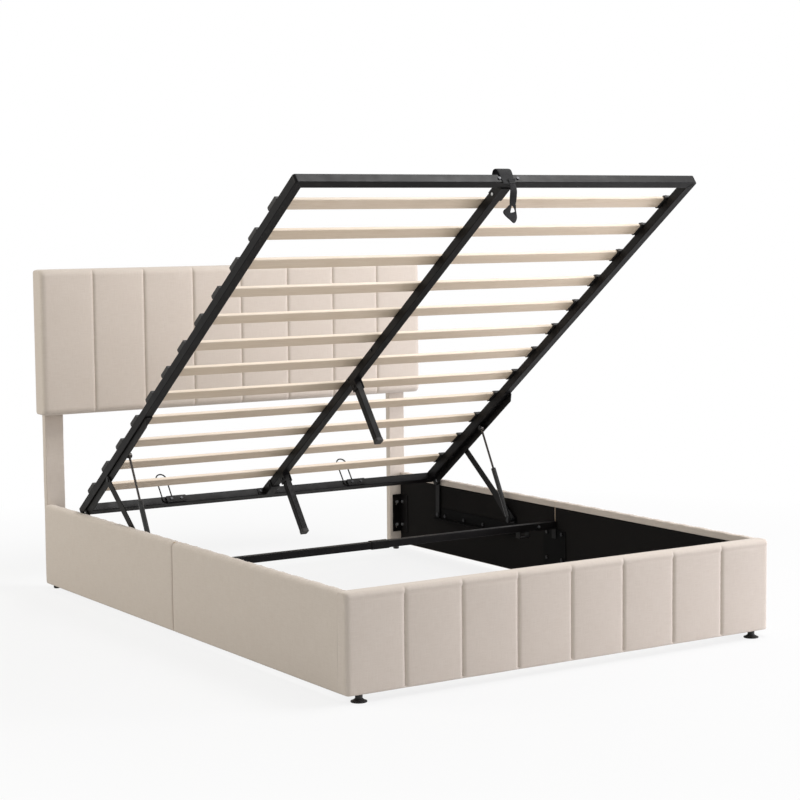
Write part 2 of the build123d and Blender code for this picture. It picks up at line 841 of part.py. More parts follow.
# Front links: long flat bars with a bend, broader towards the lower pin
elbow = front_base + polar(elbow_reach, front_angle)
heel = front_base + polar(heel_reach, front_angle) + polar(heel_drop, front_angle - 90)
for side in (-1, 1):
    with BuildPart() as front_link:
        add(flat_bar(
            side, link_outer, link_thickness, [(elbow, link_radius), (front_lift, link_radius)]
        ))
        add(flat_bar(
            side, link_outer, link_thickness,
            [(elbow, link_radius), (front_base, link_radius), (heel, heel_radius)],
        ))
        add(pin(
            side, front_base, link_outer, link_inner, pivot_radius + pivot_clearance
        ), mode=Mode.SUBTRACT)
        add(pin(side, front_lift, link_outer, link_inner, pivot_radius), mode=Mode.SUBTRACT)
    save(front_link.part, "front_link_" + side_name(side))

with BuildPart() as front_link_pins:
    for side in (-1, 1):
        add(pin(side, front_lift, link_outer, lift_outer + pin_gap, pivot_radius))
        add(pin(side, front_lift, link_outer + pin_head_height, link_outer, pin_head_radius))
save(front_link_pins.part, "front_link_pins")

# Gas struts: a cylinder on the front pin and a rod that slides out of it
cylinder_end = strut_closed - strut_eye_radius - strut_closed_gap
cylinder_bore = cylinder_radius - cylinder_wall
rod_start = cylinder_end - cylinder_seal - piston_length - overrun
strut_direction = Vector(0, cos(radians(strut_angle)), sin(radians(strut_angle)))
for side in (-1, 1):
    strut_plane = Plane(
        origin=(side * strut_x, front_base.X, front_base.Y),
        x_dir=strut_direction,
        z_dir=(1, 0, 0),
    )
    strut_axis = Axis((side * strut_x, front_base.X, front_base.Y), strut_direction)
    with BuildPart() as strut_cylinder:
        with BuildSketch(strut_plane):
            Polygon(
                (0, 0),
                (0, neck_radius),
                (cylinder_base / 2, neck_radius),
                (cylinder_base / 2, cylinder_radius),
                (cylinder_end, cylinder_radius),
                (cylinder_end, rod_radius + rod_clearance),
                (cylinder_end - cylinder_seal, rod_radius + rod_clearance),
                (cylinder_end - cylinder_seal, cylinder_bore),
                (cylinder_base, cylinder_bore),
                (cylinder_base, 0),
                align=None,
            )
        revolve(axis=strut_axis)
        add(pin(side, front_base, strut_face, strut_back, strut_eye_radius))
        add(pin(
            side, front_base, strut_face, strut_back, pivot_radius + pivot_clearance
        ), mode=Mode.SUBTRACT)
    save(strut_cylinder.part, "strut_cylinder_" + side_name(side))
    with BuildPart() as strut_rod:
        with BuildSketch(strut_plane):
            Polygon(
                (rod_start, 0),
                (rod_start, cylinder_bore - piston_clearance),
                (rod_start + piston_length, cylinder_bore - piston_clearance),
                (rod_start + piston_length, rod_radius),
                (strut_length, rod_radius),
                (strut_length, 0),
                align=None,
            )
        revolve(axis=strut_axis)
        add(pin(side, strut_lift, strut_face, strut_back, strut_eye_radius))
        add(pin(side, strut_lift, strut_face, strut_back, strut_stud_radius), mode=Mode.SUBTRACT)
    save(strut_rod.part, "strut_rod_" + side_name(side))

with BuildPart() as strut_studs:
    for side in (-1, 1):
        add(pin(side, strut_lift, lift_inner - pin_gap, strut_back, strut_stud_radius))
        add(pin(
            side, strut_lift, strut_back, strut_back - pin_head_height, pin_head_radius
        ))
save(strut_studs.part, "strut_studs")


def frame_outline(inset):
    """Corners of a side tube in the platform's plane, drawn in by a wall."""
    return [
        (deck_outer - inset, -inset),
        (deck_inner + inset, -inset),
        (deck_inner + inset, tube_size - deck_length - inset),
        (deck_outer - inset, inset - deck_length),
    ]


def frame_tube(corners, inset_corners, long_edges):
    """A closed tube of the platform's frame, cut to its corners and hollowed to its wall."""
    with BuildPart() as tube:
        with BuildSketch(deck):
            Polygon(*corners, align=None)
            with Locations((0, deck_corner - deck_length / 2)):
                RectangleRounded(
                    2 * deck_outer, deck_length + 2 * deck_corner, deck_corner, mode=Mode.INTERSECT
                )
        extrude(amount=tube_size)
        fillet(tube.edges().sort_by(SortBy.LENGTH)[-long_edges:], radius=tube_radius)
        with BuildSketch(deck.offset(tube_wall)):
            Polygon(*inset_corners, align=None)
            with Locations((0, deck_corner - deck_length / 2)):
                RectangleRounded(
                    2 * (deck_outer - tube_wall),
                    deck_length - 2 * tube_wall + 2 * deck_corner,
                    deck_corner - tube_wall,
                    mode=Mode.INTERSECT,
                )
        extrude(amount=tube_size - 2 * tube_wall, mode=Mode.SUBTRACT)
    return tube.part


# Frame of the platform: side tubes mitred to the foot bar, and a head bar between them
lift_bolt_shares = (0.1, 0.3, 0.52, 0.84)
lift_bolt_x = (deck_inner + lift_inner) / 2
lift_bolts = [
    (side * lift_bolt_x, lift_bar_start + share * lift_bar_length)
    for side in (-1, 1)
    for share in lift_bolt_shares
]
lift_holes = rods(
    deck_under(plate_thickness), lift_bolts, frame_bolt_radius + bolt_clearance,
    -(plate_thickness + tube_wall),
)
for side in (-1, 1):
    outline = [(side * x, y) for x, y in frame_outline(0)]
    hollow = [(side * x, y) for x, y in frame_outline(tube_wall)]
    with BuildPart() as side_tube:
        add(frame_tube(outline, hollow, 4))
        add(lift_holes, mode=Mode.SUBTRACT)
    save(side_tube.part, "side_tube_" + side_name(side))

wing_bolts = [
    (-wing_bolt_spread / 2, tube_size / 2), (wing_bolt_spread / 2, tube_size / 2)
]
outline = [(x, y) for x, y in frame_outline(0)[2:]] + [(-x, y) for x, y in frame_outline(0)[:1:-1]]
hollow = [
    (x, y) for x, y in frame_outline(tube_wall)[2:]
] + [(-x, y) for x, y in frame_outline(tube_wall)[:1:-1]]
with BuildPart() as foot_bar:
    add(frame_tube(outline, hollow, 4))
    add(rods(
        deck_section(deck_length), wing_bolts, frame_bolt_radius + bolt_clearance, -tube_size
    ), mode=Mode.SUBTRACT)
save(foot_bar.part, "foot_bar")

retainer_bolts = [
    (side * retainer_spread / 2 + step, tube_size / 2)
    for side in (-1, 1)
    for step in (-retainer_bolt_spread / 2, retainer_bolt_spread / 2)
]
with BuildPart() as head_bar:
    with BuildSketch(deck_side(-deck_inner)):
        with Locations((-tube_size / 2, tube_size / 2)):
            RectangleRounded(tube_size, tube_size, tube_radius)
            Rectangle(tube_size - 2 * tube_wall, tube_size - 2 * tube_wall, mode=Mode.SUBTRACT)
    extrude(amount=2 * deck_inner)
    add(rods(
        deck_section(tube_size), wing_bolts + retainer_bolts,
        frame_bolt_radius + bolt_clearance, -(tube_wall + overrun),
    ), mode=Mode.SUBTRACT)
save(head_bar.part, "head_bar")

# Centre beam in two lengths on an inner joiner, held by a bracket at each end
beam_front_end = deck_length - tube_size - bracket_thickness
beam_rear_end = tube_size + bracket_thickness
beam_bolt_share = 0.4
joiner_bolt_share = 0.73
bracket_beam_bolts = [
    (deck_length - beam_bolt_reach, beam_bolt_share * tube_size),
    (beam_bolt_reach, beam_bolt_share * tube_size),
]
joiner_bolts = [
    (beam_joint_reach - beam_bolt_share * joiner_length, joiner_bolt_share * tube_size),
    (beam_joint_reach + beam_bolt_share * joiner_length, joiner_bolt_share * tube_size),
]
beam_holes = rods(
    deck_left(-tube_size / 2 - bracket_thickness), bracket_beam_bolts + joiner_bolts,
    frame_bolt_radius + bolt_clearance, -(frame_bolt_reach + bracket_thickness),
)
for half, start, end in (
    ("front", beam_joint_reach, beam_front_end), ("rear", beam_rear_end, beam_joint_reach)
):
    with BuildPart() as beam:
        with BuildSketch(deck_section(start)):
            with Locations((0, tube_size / 2)):
                RectangleRounded(tube_size, tube_size, tube_radius)
                Rectangle(tube_size - 2 * tube_wall, tube_size - 2 * tube_wall, mode=Mode.SUBTRACT)
        extrude(amount=end - start)
        add(beam_holes, mode=Mode.SUBTRACT)
    save(beam.part, "centre_beam_" + half)

joiner_size = tube_size - 2 * tube_wall
socket_inner = centre_leg_size / 2
socket_outer = socket_inner + bracket_thickness
leg_reaches = (centre_leg_front, centre_leg_rear)
leg_bolts = [(reach, -leg_socket_height / 2) for reach in leg_reaches]
leg_holes = rods(
    deck_left(-socket_outer), leg_bolts, frame_bolt_radius + bolt_clearance,
    -(bracket_thickness + frame_bolt_reach),
)
with BuildPart() as beam_brackets:
    for face, towards in ((deck_length - tube_size, -1), (tube_size, 1)):
        with BuildSketch(deck_section(face)):
            with Locations((0, tube_size / 2)):
                Rectangle(wing_width, wing_height)
        extrude(amount=towards * bracket_thickness)
        with BuildSketch(deck_section(face)):
            with Locations((0, tube_size / 2 - bracket_thickness / 2)):
                Rectangle(tube_size + 2 * bracket_thickness, tube_size + bracket_thickness)
            with Locations((0, tube_size / 2)):
                Rectangle(tube_size, tube_size, mode=Mode.SUBTRACT)
        extrude(amount=towards * channel_length)
        add(rods(
            deck_section(face), wing_bolts, frame_bolt_radius + bolt_clearance,
            towards * bracket_thickness,
        ), mode=Mode.SUBTRACT)
    with BuildSketch(deck_section(beam_joint_reach - joiner_length / 2)):
        with Locations((0, tube_size / 2)):
            Rectangle(joiner_size, joiner_size)
            Rectangle(joiner_size - 2 * tube_wall, joiner_size - 2 * tube_wall, mode=Mode.SUBTRACT)
    extrude(amount=joiner_length)
    for reach in leg_reaches:
        with BuildSketch(deck):
            with Locations((0, -reach)):
                Rectangle(2 * socket_outer, 2 * socket_outer)
        extrude(amount=-leg_socket_height)
        with BuildSketch(deck.offset(-bracket_thickness)):
            with Locations((0, -reach)):
                Rectangle(2 * socket_inner, 2 * socket_outer)
        extrude(amount=bracket_thickness - leg_socket_height, mode=Mode.SUBTRACT)
    add(beam_holes, mode=Mode.SUBTRACT)
    add(leg_holes, mode=Mode.SUBTRACT)
save(beam_brackets.part, "beam_brackets")

# Centre legs, which reach the floor when the platform is down
leg_foot = deck_rest_height - floor_clearance
leg_cap_inner = centre_leg_size - 2 * tube_wall
for end, reach in (("front", centre_leg_front), ("rear", centre_leg_rear)):
    with BuildPart() as centre_leg:
        with BuildSketch(deck.offset(-bracket_thickness)):
            with Locations((0, -reach)):
                RectangleRounded(centre_leg_size, centre_leg_size, centre_leg_radius)
                Rectangle(leg_cap_inner, leg_cap_inner, mode=Mode.SUBTRACT)
        extrude(amount=-(leg_foot - bracket_thickness - leg_cap_wall))
        add(leg_holes, mode=Mode.SUBTRACT)
    save(centre_leg.part, "centre_leg_" + end)

with BuildPart() as leg_caps:
    for reach in leg_reaches:
        with BuildSketch(deck.offset(-leg_foot)):
            with Locations((0, -reach)):
                RectangleRounded(
                    centre_leg_size + 2 * leg_cap_wall, centre_leg_size + 2 * leg_cap_wall,
                    centre_leg_radius + leg_cap_wall,
                )
        extrude(amount=leg_cap_height)
        with BuildSketch(deck.offset(leg_cap_wall - leg_foot)):
            with Locations((0, -reach)):
                RectangleRounded(centre_leg_size, centre_leg_size, centre_leg_radius)
        extrude(amount=leg_cap_height, mode=Mode.SUBTRACT)
save(leg_caps.part, "leg_caps")

# Lift bars: angles under the side tubes that carry the upper pins
lift_bar_end = lift_bar_start + lift_bar_length
for side in (-1, 1):
    with BuildPart() as lift_bar:
        with BuildSketch(deck_side(side * lift_outer)):
            Polygon(
                (-lift_bar_start, 0),
                (-lift_bar_start, lift_bar_corner - lift_bar_depth),
                (-lift_bar_start - lift_bar_corner, -lift_bar_depth),
                (lift_bar_chamfer - lift_bar_end, -lift_bar_depth),
                (-lift_bar_end, lift_bar_chamfer - lift_bar_depth),
                (-lift_bar_end, 0),
                align=None,
            )
        extrude(amount=-side * plate_thickness)
        with BuildSketch(deck):
            with Locations(
                (side * (deck_inner + lift_outer) / 2, -(lift_bar_start + lift_bar_end) / 2)
            ):
                Rectangle(lift_outer - deck_inner, lift_bar_length)
        extrude(amount=-plate_thickness)
        add(pin(side, rear_lift, lift_outer, lift_inner, pivot_radius), mode=Mode.SUBTRACT)
        add(lift_holes, mode=Mode.SUBTRACT)
    save(lift_bar.part, "lift_bar_" + side_name(side))

with BuildPart() as lift_pivot_pins:
    for side in (-1, 1):
        add(pin(side, rear_lift, link_outer + pin_gap, lift_inner, pivot_radius))
        add(pin(
            side, rear_lift, link_outer + pin_gap + pin_head_height, link_outer + pin_gap,
            pin_head_radius,
        ))
save(lift_pivot_pins.part, "lift_pivot_pins")

# Slats in two sets of six, lying in caps on the side tubes
slat_pitch = (deck_length - slat_head_inset - slat_foot_inset) / (slat_count - 1)
slat_reaches = [slat_head_inset + index * slat_pitch for index in range(slat_count)]
slat_rise = tube_size + cap_wall + slat_thickness / 2
slat_end = deck_outer - cap_setback - cap_wall
for half, reaches in (
    ("head_half", slat_reaches[: slat_count // 2]), ("foot_half", slat_reaches[slat_count // 2 :])
):
    with BuildPart() as slats:
        with BuildSketch(deck_side(-slat_end)):
            with Locations(*[(-reach, slat_rise) for reach in reaches]):
                RectangleRounded(slat_width, slat_thickness, slat_radius)
        extrude(amount=2 * slat_end)
    save(slats.part, "slats_" + half)

with BuildPart() as slat_caps:
    for side in (-1, 1):
        with BuildSketch(deck_side(side * (deck_outer - cap_setback))):
            with Locations(*[(-reach, slat_rise) for reach in slat_reaches]):
                RectangleRounded(
                    slat_width + 2 * cap_shoulder, slat_thickness + 2 * cap_wall,
                    slat_radius + cap_wall,
                )
        extrude(amount=-side * cap_length)
        lug_x = side * (deck_inner - cap_lug_length / 2)
        lug_places = [
            (lug_x, -reach - slat_width / 2 - cap_shoulder - cap_lug_width / 2)
            for reach in slat_reaches
        ]
        with BuildSketch(deck.offset(tube_size)):
            with Locations(*lug_places):
                Rectangle(cap_lug_length, cap_lug_width + 2 * cap_wall)
        extrude(amount=cap_lug_height)
        with BuildSketch(deck_side(side * slat_end)):
            with Locations(*[(-reach, slat_rise) for reach in slat_reaches]):
                RectangleRounded(slat_width, slat_thickness, slat_radius)
        extrude(amount=-side * cap_length, mode=Mode.SUBTRACT)
save(slat_caps.part, "slat_caps")

# Mattress retainers: bent wire loops, each clamped to the head bar under a plate
wire_radius = retainer_wire / 2
wire_low = retainer_plate_height / 3
wire_high = 2 * retainer_plate_height / 3
wire_section = deck_section(tube_size + wire_radius)
arch_radius = retainer_arch_share * retainer_width
with BuildPart() as mattress_retainers:
    for side in (-1, 1):
        plate_x = side * retainer_spread / 2
        loop_x = plate_x - retainer_offset
        tail_x = plate_x + retainer_plate_width / 2 - retainer_bend
        left_x = loop_x - retainer_width / 2
        right_x = loop_x + retainer_width / 2
        with BuildLine(wire_section) as wire:
            FilletPolyline(
                (tail_x, wire_low),
                (left_x, wire_low),
                (left_x, retainer_height - wire_radius),
                (right_x, retainer_height - wire_radius),
                (right_x, wire_high),
                (tail_x, wire_high),
                radius=[retainer_bend, arch_radius, arch_radius, retainer_bend],
            )
        with BuildSketch(Plane(wire.line @ 0, z_dir=wire.line % 0)):
            Circle(wire_radius)
        sweep(path=wire.line)
        with BuildSketch(deck_section(tube_size + retainer_wire)):
            with Locations((plate_x, tube_size / 2)):
                RectangleRounded(retainer_plate_width, retainer_plate_height, bar_radius)
        extrude(amount=bracket_thickness)
    add(rods(
        deck_section(tube_size), retainer_bolts, frame_bolt_radius + bolt_clearance,
        retainer_wire + bracket_thickness,
    ), mode=Mode.SUBTRACT)
save(mattress_retainers.part, "mattress_retainers")

# Bolts of the platform
with BuildPart() as frame_bolts:
    add(bolts(deck_section(deck_length), wing_bolts, 0, tube_size + bracket_thickness, small=True))
    add(bolts(
        deck_section(tube_size), wing_bolts, bracket_thickness, tube_wall + overrun, small=True
    ))
    add(bolts(
        deck_section(tube_size), retainer_bolts, retainer_wire + bracket_thickness,
        tube_wall + overrun, small=True,
    ))
    add(bolts(
        deck_left(-tube_size / 2), bracket_beam_bolts, bracket_thickness, frame_bolt_reach,
        small=True,
    ))
    add(bolts(deck_left(-tube_size / 2), joiner_bolts, 0, frame_bolt_reach, small=True))
    add(bolts(deck_left(-socket_outer), leg_bolts, 0, frame_bolt_reach, small=True))
    add(bolts(
        deck_under(plate_thickness), lift_bolts, 0, plate_thickness + tube_wall + overrun,
        small=True,
    ))
save(frame_bolts.part, "frame_bolts")

# Pull strap: webbing rolled at its hem, lapped over the foot bar, with a tail and a small loop
strap_x = -strap_offset
tail_x = strap_x + strap_tail_offset
strap_edge = deck.from_local_coords(Vector(strap_x, -deck_length - strap_thickness, 0))
tail_top = strap_edge.Z
loop_top = tail_top - strap_drop
half_tail = strap_tail_width / 2
roll_reach = strap_lap - strap_roll_radius - deck_length
loop_shares = ((-0.27, -0.06), (-0.71, -0.33), (-0.65, -0.5), (0.1, -1), (0.35, -0.7))
hole_shares = ((-0.08, -0.08), (0.14, -0.4), (-0.24, -0.5))
with BuildPart() as pull_strap:
    with BuildSketch(deck_side(strap_x - strap_width / 2)):
        Polygon(
            (roll_reach, tube_size),
            (roll_reach, tube_size + strap_thickness),
            (-deck_length - strap_thickness, tube_size + strap_thickness),
            (-deck_length - strap_thickness, -strap_lip),
            (-deck_length, -strap_lip),
            (-deck_length, tube_size),
            align=None,
        )
        with Locations((roll_reach, tube_size + strap_roll_radius)):
            Circle(strap_roll_radius)
    extrude(amount=strap_width)
    with BuildSketch(Plane.XZ.offset(-strap_edge.Y)):
        Polygon(
            (tail_x - half_tail, tail_top),
            (tail_x - half_tail, loop_top),
            *[
                (tail_x + x * strap_loop_width, loop_top + z * strap_loop_height)
                for x, z in loop_shares
            ],
            (tail_x + half_tail, loop_top),
            (tail_x + half_tail, tail_top),
            align=None,
        )
        Polygon(
            *[
                (tail_x + x * strap_loop_width, loop_top + z * strap_loop_height)
                for x, z in hole_shares
            ],
            align=None,
            mode=Mode.SUBTRACT,
        )
    extrude(amount=-strap_thickness)
save(pull_strap.part, "pull_strap")
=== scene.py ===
"""Looks for the ottoman storage bed: upholstery, steelwork, slats, strap and a plain studio.

All lengths are in metres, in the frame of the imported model: X across the bed, +Y to the
headboard, +Z up, with the slatted platform raised.
"""

import json
import math

import bmesh
import bpy
import numpy as np
from bpy.props import FloatProperty, FloatVectorProperty, PointerProperty
from mathutils import Matrix, Vector


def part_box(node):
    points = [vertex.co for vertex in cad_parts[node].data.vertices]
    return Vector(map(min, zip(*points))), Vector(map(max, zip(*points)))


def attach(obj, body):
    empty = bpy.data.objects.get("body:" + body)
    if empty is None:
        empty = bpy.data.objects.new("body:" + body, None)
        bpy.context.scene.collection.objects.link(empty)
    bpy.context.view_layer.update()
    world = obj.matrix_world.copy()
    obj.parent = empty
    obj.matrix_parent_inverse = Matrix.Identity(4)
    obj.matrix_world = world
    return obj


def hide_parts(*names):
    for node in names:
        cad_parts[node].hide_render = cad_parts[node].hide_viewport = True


bl_info = {
    "name": "Ottoman Storage Bed",
    "version": (1, 0, 0),
    "blender": (4, 5, 0),
    "location": "3D View > Sidebar > Storage Bed",
    "description": "Upholstery, finishes and studio for a gas-lift storage bed",
    "category": "Object",
}

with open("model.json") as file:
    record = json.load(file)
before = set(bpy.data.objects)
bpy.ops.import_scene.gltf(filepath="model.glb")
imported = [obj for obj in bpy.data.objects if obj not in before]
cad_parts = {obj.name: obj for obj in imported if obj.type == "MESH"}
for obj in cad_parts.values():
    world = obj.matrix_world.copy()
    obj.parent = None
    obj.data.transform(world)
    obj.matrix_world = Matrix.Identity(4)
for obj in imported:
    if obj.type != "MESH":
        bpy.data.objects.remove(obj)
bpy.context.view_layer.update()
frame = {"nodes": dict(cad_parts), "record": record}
NODES = frame["nodes"]

MM = 0.001
ACROSS, ALONG, UP = np.eye(3)

# The platform's own axes: its head end lies here, and it leans by this angle
DECK_ORIGIN = np.array([0.0, 0.8130387, 0.3055225])
DECK_TILT = math.radians(36.26)
DECK_FOOT = np.array([0.0, -math.cos(DECK_TILT), math.sin(DECK_TILT)])
DECK_UP = np.array([0.0, math.sin(DECK_TILT), math.cos(DECK_TILT)])
DECK_LENGTH = 1.972408

SIDES = {"left": -1, "right": 1}

# The platform's frame: half its width outside, and the side of its square tubes
FRAME_REACH = 763.5 * MM
TUBE = 30 * MM

# Sewn channels across each cushion, and the columns of mesh in each
CHANNELS = 8
CHANNEL_COLUMNS = 24

# Inside a rail the cover shows above and below the lining, and in a slit at the rail's seam
RAIL_HEM_TOP = 23 * MM
RAIL_HEM_BOTTOM = 1 * MM
LINING_SLIT = 5 * MM
LINING_GAP = 0.5 * MM
LINING_CLOTH = 0.7 * MM

# The rail linings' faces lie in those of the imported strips, which are this thick; the other
# linings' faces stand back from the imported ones
PACKED_STRIP = 1 * MM
PANEL_LINING_BACK = 0.15 * MM

# Each half of a rail ends this far short of the seam, in a rim of this radius
SEAM_GAP = 1 * MM
SEAM_RIM = 7 * MM

# Behind a cushion the cloth is turned in by this much; it stands back for every lining
BACK_HEM = 24 * MM
BACK_RECESS = 1.6 * MM

STRAP_THICKNESS = 2.5 * MM

# Bands of a wave texture at this scale lie 2 pi / (20 * 78.5) m = 4 mm apart
BANDS_4_MM = 78.5

# Names of the finishes that more than one piece takes
SOFT_CLOTH = "linen_look_weave"
FELT_CLOTH = "non_woven_lining"
COATED_STEEL = "powder_coated_steel_black"

# Colours of two metal finishes, dark and light patches
BLACK_OXIDE = ("#29292A", "#424244")
BRIGHT_ZINC = ("#B4B6B8", "#DADBDC")

# Softboxes: watts at a key light of 1, side in metres, place and tint
SOFTBOXES = {
    "key_softbox": (172, 1.8, (4.5, -3.0, 1.0), (1.0, 0.98, 1.08)),
    "top_softbox": (100, 1.8, (1.5, -1.2, 4.0), (1.0, 1.0, 1.0)),
    "fill_softbox": (84, 2.4, (-4.4, 2.4, 3.2), (1.0, 0.95, 0.84)),
}
LIGHT_AIM = np.array([0.0, 0.0, 0.5])
FLOOR_REACH = 14.0

# Camera fitted to the photograph's edges: turn from +Y, dip below level, roll, place and lens
CAMERA_YAW, CAMERA_PITCH, CAMERA_ROLL = map(math.radians, (32.79, 5.242, -0.552))
CAMERA_PLACE = (-3.6236, -5.7609, 1.3632)
CAMERA_LENS = 88.95
CAMERA_SENSOR = 36.0


def linear(code):
    """An sRGB hex colour as the linear values that a shader takes."""
    parts = [int(code[i:i + 2], 16) / 255 for i in (1, 3, 5)]
    return tuple(c / 12.92 if c <= 0.04045 else ((c + 0.055) / 1.055) ** 2.4 for c in parts)


def low_high(node):
    """The lowest and highest corner of a node as two arrays."""
    low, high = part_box(node)
    return np.array(low), np.array(high)


HEADBOARD = low_high("headboard_cover")
FOOTBOARD = low_high("footboard_cover")


class BedSizes(bpy.types.PropertyGroup):
    """Sizes of the soft parts that someone may want to change."""

    channel_depth: FloatProperty(
        name="Channel depth", description="How far the sewn channels dip at their seams",
        default=4.0 * MM, min=0.0, unit="LENGTH",
    )
    seam_width: FloatProperty(
        name="Seam width", description="Width of the groove that a sewn seam leaves",
        default=8.0 * MM, min=0.001, unit="LENGTH",
    )
    seam_depth: FloatProperty(
        name="Seam depth", description="How deep a sewn seam pulls in below its channel",
        default=4.0 * MM, min=0.0, unit="LENGTH",
    )
    pucker: FloatProperty(
        name="Pucker", description="Height of the small folds beside a seam",
        default=0.5 * MM, min=0.0, unit="LENGTH",
    )
    top_roll: FloatProperty(
        name="Top roll", description="Height of the plain roll along the footboard's top",
        default=22.0 * MM, min=0.0, unit="LENGTH",
    )


class BedColours(bpy.types.PropertyGroup):
    """Main colours of the bed."""

    cloth: FloatVectorProperty(
        name="Cloth", description="Beige of the upholstery", subtype="COLOR", size=3,
        default=linear("#CBC1B6"), min=0.0, max=1.0,
    )
    cloth_dark: FloatVectorProperty(
        name="Cloth threads", description="Darker threads of the upholstery", subtype="COLOR",
        size=3, default=linear("#BEB2A6"), min=0.0, max=1.0,
    )
    lining: FloatVectorProperty(
        name="Lining", description="Black of the non-woven lining", subtype="COLOR", size=3,
        default=linear("#0E0D0C"), min=0.0, max=1.0,
    )
    steel: FloatVectorProperty(
        name="Coated steel", description="Black of the powder coat", subtype="COLOR", size=3,
        default=linear("#0A0909"), min=0.0, max=1.0,
    )
    birch: FloatVectorProperty(
        name="Slats", description="Pale lacquered birch", subtype="COLOR", size=3,
        default=linear("#EADDCC"), min=0.0, max=1.0,
    )
    birch_grain: FloatVectorProperty(
        name="Slat grain", description="Darker grain of the slats", subtype="COLOR", size=3,
        default=linear("#C9B69E"), min=0.0, max=1.0,
    )


class BedStage(bpy.types.PropertyGroup):
    """Light of the studio."""

    room_light: FloatProperty(
        name="Room light", description="Strength of the even light from all round",
        default=0.6, min=0.0,
    )
    key_light: FloatProperty(
        name="Key light", description="Strength of the three softboxes",
        default=1.0, min=0.0,
    )


# Nodes and finishes


def add_node(tree, kind, inputs=None, out=0, **settings):
    """Adds a shader node with its settings and returns one of its output sockets.

    Its inputs are values or the sockets that they are linked from.
    """
    node = tree.nodes.new("ShaderNode" + kind)
    for name, value in settings.items():
        setattr(node, name, value)
    for name, value in (inputs or {}).items():
        if isinstance(value, bpy.types.NodeSocket):
            tree.links.new(value, node.inputs[name])
        else:
            node.inputs[name].default_value = value
    return node.outputs[out] if node.outputs else None


def colour(value):
    """A hex colour or colour property as a colour socket's four values; a socket as it is."""
    if isinstance(value, bpy.types.NodeSocket):
        return value
    return (*(linear(value) if isinstance(value, str) else value), 1.0)


def layered(tree, base, *layers):
    """Tones laid over a base colour one after the other, each by its own share."""
    base = colour(base)
    for share, tone in layers:
        mix = {0: share, 6: base, 7: colour(tone)}
        base = add_node(tree, "Mix", mix, 2, data_type="RGBA")
    return base


def mottled(tree, scale, detail, dark, light):
    """Patches of two colours in the object's own space, as (place, patches, colour)."""
    place = add_node(tree, "TexCoord", out="Object")
    patches = add_node(tree, "TexNoise", {"Vector": place, "Scale": scale, "Detail": detail}, "Fac")
    return place, patches, layered(tree, dark, (patches, light))


def weave_cloth(tree):
    """Linen-look polyester weave, dull and slightly mottled, with slubs 2 by 40 mm.

    Real threads are about 0.6 mm apart; they are drawn 4 mm apart so that they can show.
    """
    colours = bpy.context.scene.bed_colours
    plan = add_node(tree, "UVMap", uv_map="cloth_plan")
    waves, slubs = [], []
    for direction, stretch in (("X", (1.0, 0.06, 1.0)), ("Y", (0.06, 1.0, 1.0))):
        waves.append(add_node(
            tree, "TexWave",
            {"Vector": plan, "Scale": BANDS_4_MM, "Distortion": 1.2, "Detail": 2.0,
             "Detail Scale": 3.0},
            "Fac", bands_direction=direction, wave_profile="SIN",
        ))
        drawn_out = add_node(tree, "Mapping", {"Vector": plan, "Scale": stretch})
        slubs.append(add_node(
            tree, "TexNoise",
            {"Vector": drawn_out, "Scale": 420.0, "Detail": 3.0, "Roughness": 0.6}, "Fac",
        ))
    threads, slub = [
        add_node(tree, "Math", dict(enumerate(pair)), operation="MULTIPLY")
        for pair in (waves, slubs)
    ]
    cloudy = add_node(tree, "TexNoise", {"Vector": plan, "Scale": 16.0, "Detail": 4.0}, "Fac")
    spread = add_node(
        tree, "MapRange", {"Value": slub, "From Min": 0.15, "From Max": 0.38, "To Max": 0.55})
    tint = add_node(
        tree, "MapRange", {"Value": cloudy, "From Min": 0.3, "From Max": 0.7, "To Max": 0.16})
    height = add_node(tree, "Math", {0: threads, 1: slub}, operation="ADD")
    return {
        "Base Color": layered(
            tree, colours.cloth, (spread, colours.cloth_dark), (tint, "#C2B5A8")),
        "Normal": add_node(tree, "Bump", {"Height": height, "Strength": 0.12, "Distance": 0.0005}),
        "Roughness": 0.92, "Specular IOR Level": 0.18,
        "Sheen Weight": 0.22, "Sheen Roughness": 0.5,
    }


def felt_lining(tree):
    """Black spun-bonded lining: dull, with fine pressed dots 2.5 mm apart."""
    colours = bpy.context.scene.bed_colours
    place, _, tone = mottled(tree, 260.0, 5.0, colours.lining, "#1A1817")
    dots = add_node(
        tree, "TexVoronoi", {"Vector": place, "Scale": 400.0, "Randomness": 0.3}, "Distance")
    return {
        "Base Color": tone,
        "Normal": add_node(tree, "Bump", {"Height": dots, "Strength": 0.3, "Distance": 0.0003}),
        "Roughness": 0.95, "Specular IOR Level": 0.15,
    }


def powder_coat(tree):
    """Black polyester powder coat: half-gloss, with an orange-peel ripple about 1 mm across."""
    colours = bpy.context.scene.bed_colours
    place, dust, tone = mottled(tree, 22.0, 6.0, colours.steel, "#110F0F")
    peel = add_node(tree, "TexNoise", {"Vector": place, "Scale": 900.0, "Detail": 2.0}, "Fac")
    rough = {"Value": dust, "From Min": 0.3, "From Max": 0.7, "To Min": 0.36, "To Max": 0.48}
    return {
        "Base Color": tone, "Roughness": add_node(tree, "MapRange", rough),
        "Normal": add_node(tree, "Bump", {"Height": peel, "Strength": 0.12, "Distance": 0.0002}),
        "Specular IOR Level": 0.16,
    }


def zinc_plate(tree):
    """Bright zinc-plated steel: pale and bluish, with duller patches 3 mm across."""
    _, patch, tone = mottled(tree, 350.0, 4.0, *BRIGHT_ZINC)
    rough = add_node(tree, "MapRange", {"Value": patch, "To Min": 0.2, "To Max": 0.42})
    return {"Base Color": tone, "Roughness": rough, "Metallic": 1.0}


